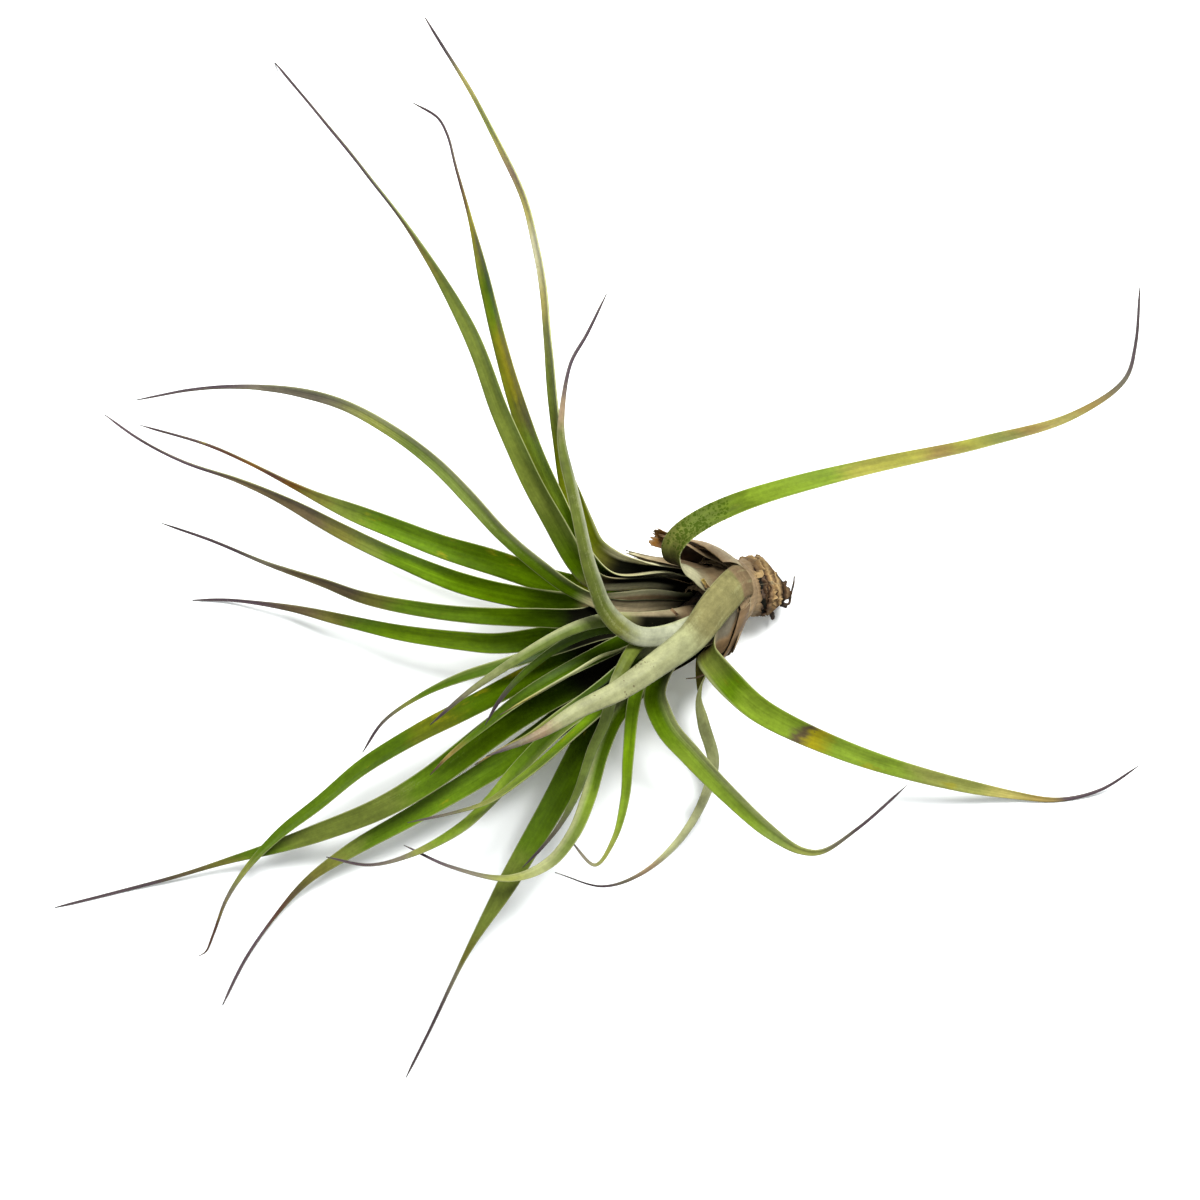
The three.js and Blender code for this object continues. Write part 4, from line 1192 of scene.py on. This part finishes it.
def bend_wrap(bm, wrap, seed):
    """Bends a flat sheet round the axis of the stem, tears its two ends and crumples it."""
    back = bm.verts.layers.float["back"]
    crumple = wrap.get("crumple", WRAP_CRUMPLE) * MM
    torn, slant = wrap.get("torn", (0, 0.5)), wrap.get("slant", (0, 0))
    for vert in bm.verts:
        part = (vert.co.y + 1) / 2
        share = (vert.co.x + 1) / 2
        turn = lerp(*wrap["turns"], share)
        angle = math.radians(turn)
        tears = [abs(noise.fractal(Vector((angle * 2.5, seed, end)), 0.6, 2.3, 5)) for end in (2, 7)]
        start = wrap["along"][0] + torn[0] * tears[0] + slant[0] * math.cos(angle)
        end = lerp(wrap["along"][1], wrap["along"][-1], share)
        end += slant[1] * math.cos(angle) - torn[1] * tears[1]
        along = lerp(start, end, part) * MM
        radius = wrap_radius(wrap, along, part)
        radius += (turn - wrap["turns"][0]) / 360 * WRAP_THICKNESS
        creases = Vector((angle * 5, along / (2.2 * MM), seed))
        radius += crumple * noise.fractal(creases, 0.6, 2.2, 4)
        radius += WRAP_THICKNESS / 2 * (1 if vert[back] else -1)
        spot = on_axis(along) + outward(turn) * radius
        write_place(bm, vert, vert.co.x, radius * angle, along, part)
        vert.co = (spot.x, spot.y, max(spot.z, 0))
    trim_cut_end(bm)
    bmesh.ops.recalc_face_normals(bm, faces=bm.faces)


class AIR_PLANT_OT_wrap_stem(bpy.types.Operator):
    """Wrap the stem with its smooth collar, the linings of the cups and the torn scars of old leaves"""
    bl_idname = "air_plant.wrap_stem"
    bl_label = "Wrap stem"

    def execute(self, context):
        colours = palette(context.scene)
        for seed, (name, wrap) in enumerate(WRAPS.items(), WRAP_SEED):
            first, last = wrap["turns"]
            bm = flat_leaf(round((last - first) / WRAP_STEP), WRAP_RINGS)
            bend_wrap(bm, wrap, seed)
            skin = leaf_skin(name + "_skin", WRAP_LOOKS[name.split("_")[0]], seed, colours)
            add_piece(name, bm, skin)
        return {"FINISHED"}


# Torn bits: folded scraps of dry sheath, from the end that is held to the end that is torn, as the
# eye sees them on the table with their height. Face is where the inside of the fold looks, fold half
# the angle that its two sides are bent by, torn how ragged its end is. Millimetres.
BITS = {
    "cut_stub": dict(held=(-35.5, 23, 37), end=(-45.4, 27, 38.5), width=9.6, fold=0.6,
                     face=(0.1, -0.5, 0.85), torn=0.35),
    "tan_scrap": dict(held=(-25, 8.4, 60), end=(-22.6, 4.6, 57.6), width=1.8, fold=0.2,
                      face=(-0.3, 0, 1), torn=0.8),
    "brown_scrap": dict(held=(-37.6, -3.6, 62.5), end=(-34.8, -6.4, 61.5), width=1.6, fold=0.4,
                        face=(0, 0.2, 1), torn=0.5),
}
# The inside of the cut stub's fold begins in painted shade
BIT_LOOKS = {
    "cut_stub": husk_look(
        "shade 0, bark 45, rust 80, husk 100",
        "husk 0, rust 50 100",
        patch="bark", depth=1.3),
    "tan_scrap": husk_look("tan 0, ochre 100", "tan 0, husk 100"),
    "brown_scrap": husk_look("husk 0, bark 100", "husk 0, bark 100"),
}
BIT_THICKNESS = 0.5 * MM
BIT_CRUMPLE = 0.35 * MM
BIT_ACROSS = 24
BIT_RINGS = 14
BIT_SEED = 90


def fold_bit(bm, bit, seed):
    """Folds a flat sheet along its middle and tears its end."""
    back = bm.verts.layers.float["back"]
    held, end = seen_at(*bit["held"]), seen_at(*bit["end"])
    heading = (end - held).normalized()
    face = flatten_to(Vector(bit["face"]), heading).normalized()
    side = heading.cross(face)
    half = bit["width"] / 2 * MM
    for vert in bm.verts:
        share, part = vert.co.x, (vert.co.y + 1) / 2
        tear = abs(noise.fractal(Vector((share * 3, seed, 1)), 0.6, 2.3, 4))
        reach = part * (1 - bit["torn"] * tear * part)
        spread = half * lerp(0.8, 1, part)
        rise = (share * share + 0.03) ** 0.5
        crumple = noise.fractal(Vector((share * 2, part * 3, seed)), 0.7, 2.1, 4)
        spot = held.lerp(end, reach) + side * share * spread * math.cos(bit["fold"])
        spot += face * (rise * spread * math.sin(bit["fold"]) + BIT_CRUMPLE * crumple)
        spot += face * BIT_THICKNESS * (-0.5 if vert[back] else 0.5)
        write_place(bm, vert, share, share * half, part * (end - held).length, part)
        vert.co = spot
    bmesh.ops.recalc_face_normals(bm, faces=bm.faces)


# Dry roots: course and radius of each at its start, in millimetres
ROOTS = {
    "root_thread": ([(4, -1, 15), (8.3, -1.5, 16), (9, 2, 18), (10, 6, 19), (10.4, 9.4, 19.4)], 0.55),
    "root_stub_1": ([(5, 5.5, 15), (6.6, 6.4, 16.4), (7.4, 7.4, 17)], 1.1),
    "root_stub_2": ([(6.4, 3.5, 11), (8.3, 4.2, 11.6), (9.2, 4.4, 11.4)], 1.2),
    "root_stub_3": ([(6.8, 1, 13), (8.6, 1.4, 14.2), (9.3, 0.8, 15)], 1.1),
    "root_stub_4": ([(5.8, -1.4, 9), (7.3, -2.2, 9.4), (8, -3, 9.2)], 1.1),
    "root_stub_5": ([(2.6, 8.6, 12), (3.4, 10, 13), (3.4, 11, 13.6)], 0.9),
    "root_stub_6": ([(2, -5, 8), (2.6, -6.6, 7.6), (2.4, -7.6, 6.6)], 1.1),
}
ROOT_STEPS = 24
ROOT_SIDES = 12
ROOT_SEED = 100


def draw_root(course, radius, seed):
    """A root drawn out along its course, knotty and thinner to its end."""
    bm = bmesh.new()
    bmesh.ops.create_cone(
        bm, cap_ends=True, cap_tris=True, segments=ROOT_SIDES, radius1=1, radius2=1, depth=2)
    lengthwise = [edge for edge in bm.edges if abs(edge.verts[0].co.z - edge.verts[1].co.z) > 1]
    bmesh.ops.subdivide_edges(bm, edges=lengthwise, cuts=ROOT_STEPS - 1, use_grid_fill=True)
    points = [Vector(point) * MM for point in course]
    for vert in bm.verts:
        part = clamp((vert.co.z + 1) / 2)
        point = curve_point(points, part)
        heading = (curve_point(points, part + 0.01) - curve_point(points, part - 0.01)).normalized()
        side = flatten_to(Vector((0, 0, 1)), heading).normalized()
        other = heading.cross(side)
        girth = radius * MM * lerp(1, 0.45, part * part)
        girth *= 1 + 0.35 * noise.fractal(Vector((vert.co.x, vert.co.y, part * 6 + seed)), 0.7, 2.1, 3)
        vert.co = point + (side * vert.co.x + other * vert.co.y) * girth
    bmesh.ops.recalc_face_normals(bm, faces=bm.faces)
    return bm


class AIR_PLANT_OT_add_scraps(bpy.types.Operator):
    """Add the stub of the cut leaf, the torn scraps of sheath and the dry roots"""
    bl_idname = "air_plant.add_scraps"
    bl_label = "Add scraps"

    def execute(self, context):
        colours = palette(context.scene)
        for seed, (name, bit) in enumerate(BITS.items(), BIT_SEED):
            bm = flat_leaf(BIT_ACROSS, BIT_RINGS)
            fold_bit(bm, bit, seed)
            add_piece(name, bm, leaf_skin(name + "_skin", BIT_LOOKS[name], seed, colours))
        bark = stump_skin("root_bark", colours)
        for seed, (name, (course, radius)) in enumerate(ROOTS.items(), ROOT_SEED):
            add_piece(name, draw_root(course, radius, seed), bark)
        return {"FINISHED"}


STEM_SIDES = 96
RING_STEP = 0.5 * MM
LEAST_RADIUS = 0.3 * MM
STUMP_SHARE = 0.95  # of the solid's radius, as the scars and the collar are wrapped round it


def stump_skin(name, colours):
    """Material of rough bark."""
    material, nodes, skin = new_material(name)
    rough = nodes.noise(nodes.spot(), 260, 6, 0.7)
    # the darkest patches take the shade colour: painted shade in the cracks of the bark
    colour = nodes.ramp(rough, "shade 36, bark 52, husk 70, ochre 88", colours)
    nodes.feed(skin.inputs["Base Color"], colour)
    nodes.feed(skin.inputs["Roughness"], 0.85)
    nodes.bump(skin, rough, 0.8, 0.6 * MM)
    return material


class AIR_PLANT_OT_turn_stump(bpy.types.Operator):
    """Turn the stem with its scarred stump, and cut its end on a slant"""
    bl_idname = "air_plant.turn_stump"
    bl_label = "Turn stump"

    def execute(self, context):
        bm = bmesh.new()
        verts = [bm.verts.new((0, 0, 0))]
        for i in range(round(STEM_TIP / RING_STEP)):
            along = i * RING_STEP
            verts.append(bm.verts.new((max(stem_radius(along), LEAST_RADIUS), 0, along)))
        verts.append(bm.verts.new((0, 0, STEM_TIP)))
        edges = [bm.edges.new(pair) for pair in zip(verts, verts[1:])]
        bmesh.ops.spin(bm, geom=verts + edges, cent=(0, 0, 0), axis=(0, 0, 1), angle=2 * math.pi,
                       steps=STEM_SIDES, use_merge=True)
        bmesh.ops.remove_doubles(bm, verts=bm.verts, dist=0.01 * MM)
        to_axis = AXIS.to_track_quat("Z", "Y").to_matrix()
        for vert in bm.verts:
            along = vert.co.z
            round_axis = Vector((vert.co.x, vert.co.y, 0))
            place = Vector((vert.co.x, vert.co.y, vert.co.z * 2)) / (3 * MM)
            round_axis *= STUMP_SHARE * (1 + 0.08 * noise.fractal(place, 0.7, 2.1, 4))
            spot = on_axis(along) + to_axis @ round_axis
            vert.co = (spot.x, spot.y, max(spot.z, 0))
        trim_cut_end(bm)
        bmesh.ops.recalc_face_normals(bm, faces=bm.faces)
        add_piece("stump", bm, stump_skin("stump_bark", palette(context.scene)), "stem")
        return {"FINISHED"}


# Stage, in metres: half a side of the floor, where each light hangs and how long and wide it is, what
# the lights look at, and the colour of the light from all round
FLOOR_SIZE = 4
KEY_LIGHT = ((0.22, 0.62, 1.1), (0.45, 0.45))
FILL_LIGHT = ((0.1, 0.1, 1.4), (1.2, 1.2))
LIT_SPOT = Vector((EYE.x, 0, 0.03))
SKY = (0.95, 0.98, 1, 1)


def area_light(name, place, size, power):
    """Hangs a soft light that looks at the plant."""
    lamp = bpy.data.lights.new(name, "AREA")
    lamp.shape = "RECTANGLE"
    lamp.size, lamp.size_y = size
    lamp.energy = power
    light = add_object(name, lamp)
    light.location = place
    light.rotation_euler = (LIT_SPOT - Vector(place)).to_track_quat("-Z", "Y").to_euler()


class AIR_PLANT_OT_lay_stage(bpy.types.Operator):
    """Lay the pale floor, hang the soft lights and set the camera over the plant"""
    bl_idname = "air_plant.lay_stage"
    bl_label = "Lay stage"

    def execute(self, context):
        scene = context.scene
        stage = scene.air_plant_stage
        paper, nodes, shader = new_material("floor_paper")
        nodes.feed(shader.inputs["Base Color"], (*stage.floor, 1))
        nodes.feed(shader.inputs["Roughness"], 0.9)
        nodes.feed(shader.inputs["Specular IOR Level"], 0.1)
        bm = bmesh.new()
        bmesh.ops.create_grid(bm, x_segments=1, y_segments=1, size=FLOOR_SIZE)
        floor = add_mesh("floor", bm, paper)
        world = scene.world or bpy.data.worlds.new("studio")
        scene.world = world
        world.use_nodes = True
        background = world.node_tree.nodes["Background"]
        background.inputs["Color"].default_value = SKY
        background.inputs["Strength"].default_value = stage.ambient
        area_light("key_light", *KEY_LIGHT, stage.key_power)
        area_light("fill_light", *FILL_LIGHT, stage.fill_power)
        lens = bpy.data.cameras.new("eye")
        lens.lens = stage.lens
        camera = add_object("eye", lens)
        camera.location = EYE
        scene.camera = camera
        scene.view_settings.view_transform = "Standard"
        return {"FINISHED"}


class AIR_PLANT_PT_build(bpy.types.Panel):
    """The steps that build the plant"""
    bl_idname = "AIR_PLANT_PT_build"
    bl_label = "Air plant"
    bl_space_type = "VIEW_3D"
    bl_region_type = "UI"
    bl_category = "Air plant"

    def draw(self, context):
        for step in STEPS:
            self.layout.operator(step.bl_idname)
        for settings in ("air_plant_blade", "air_plant_colours", "air_plant_stage"):
            group = getattr(context.scene, settings)
            for name in group.bl_rna.properties.keys():
                if name not in ("rna_type", "name"):
                    self.layout.prop(group, name)


STEPS = (
    AIR_PLANT_OT_grow_leaves,
    AIR_PLANT_OT_wrap_husks,
    AIR_PLANT_OT_wrap_stem,
    AIR_PLANT_OT_turn_stump,
    AIR_PLANT_OT_add_scraps,
    AIR_PLANT_OT_lay_stage,
)
SETTINGS = {
    "air_plant_blade": BladeSizes,
    "air_plant_colours": PlantColours,
    "air_plant_stage": StageSettings,
}


def register():
    for kind in (*SETTINGS.values(), *STEPS, AIR_PLANT_PT_build):
        bpy.utils.register_class(kind)
    for name, kind in SETTINGS.items():
        setattr(bpy.types.Scene, name, PointerProperty(type=kind))


def unregister():
    for name in SETTINGS:
        delattr(bpy.types.Scene, name)
    for kind in reversed((*SETTINGS.values(), *STEPS, AIR_PLANT_PT_build)):
        bpy.utils.unregister_class(kind)


def main():
    register()
    bpy.ops.air_plant.grow_leaves()
    bpy.ops.air_plant.wrap_husks()
    bpy.ops.air_plant.wrap_stem()
    bpy.ops.air_plant.turn_stump()
    bpy.ops.air_plant.add_scraps()
    bpy.ops.air_plant.lay_stage()


if __name__ == "__main__":
    main()
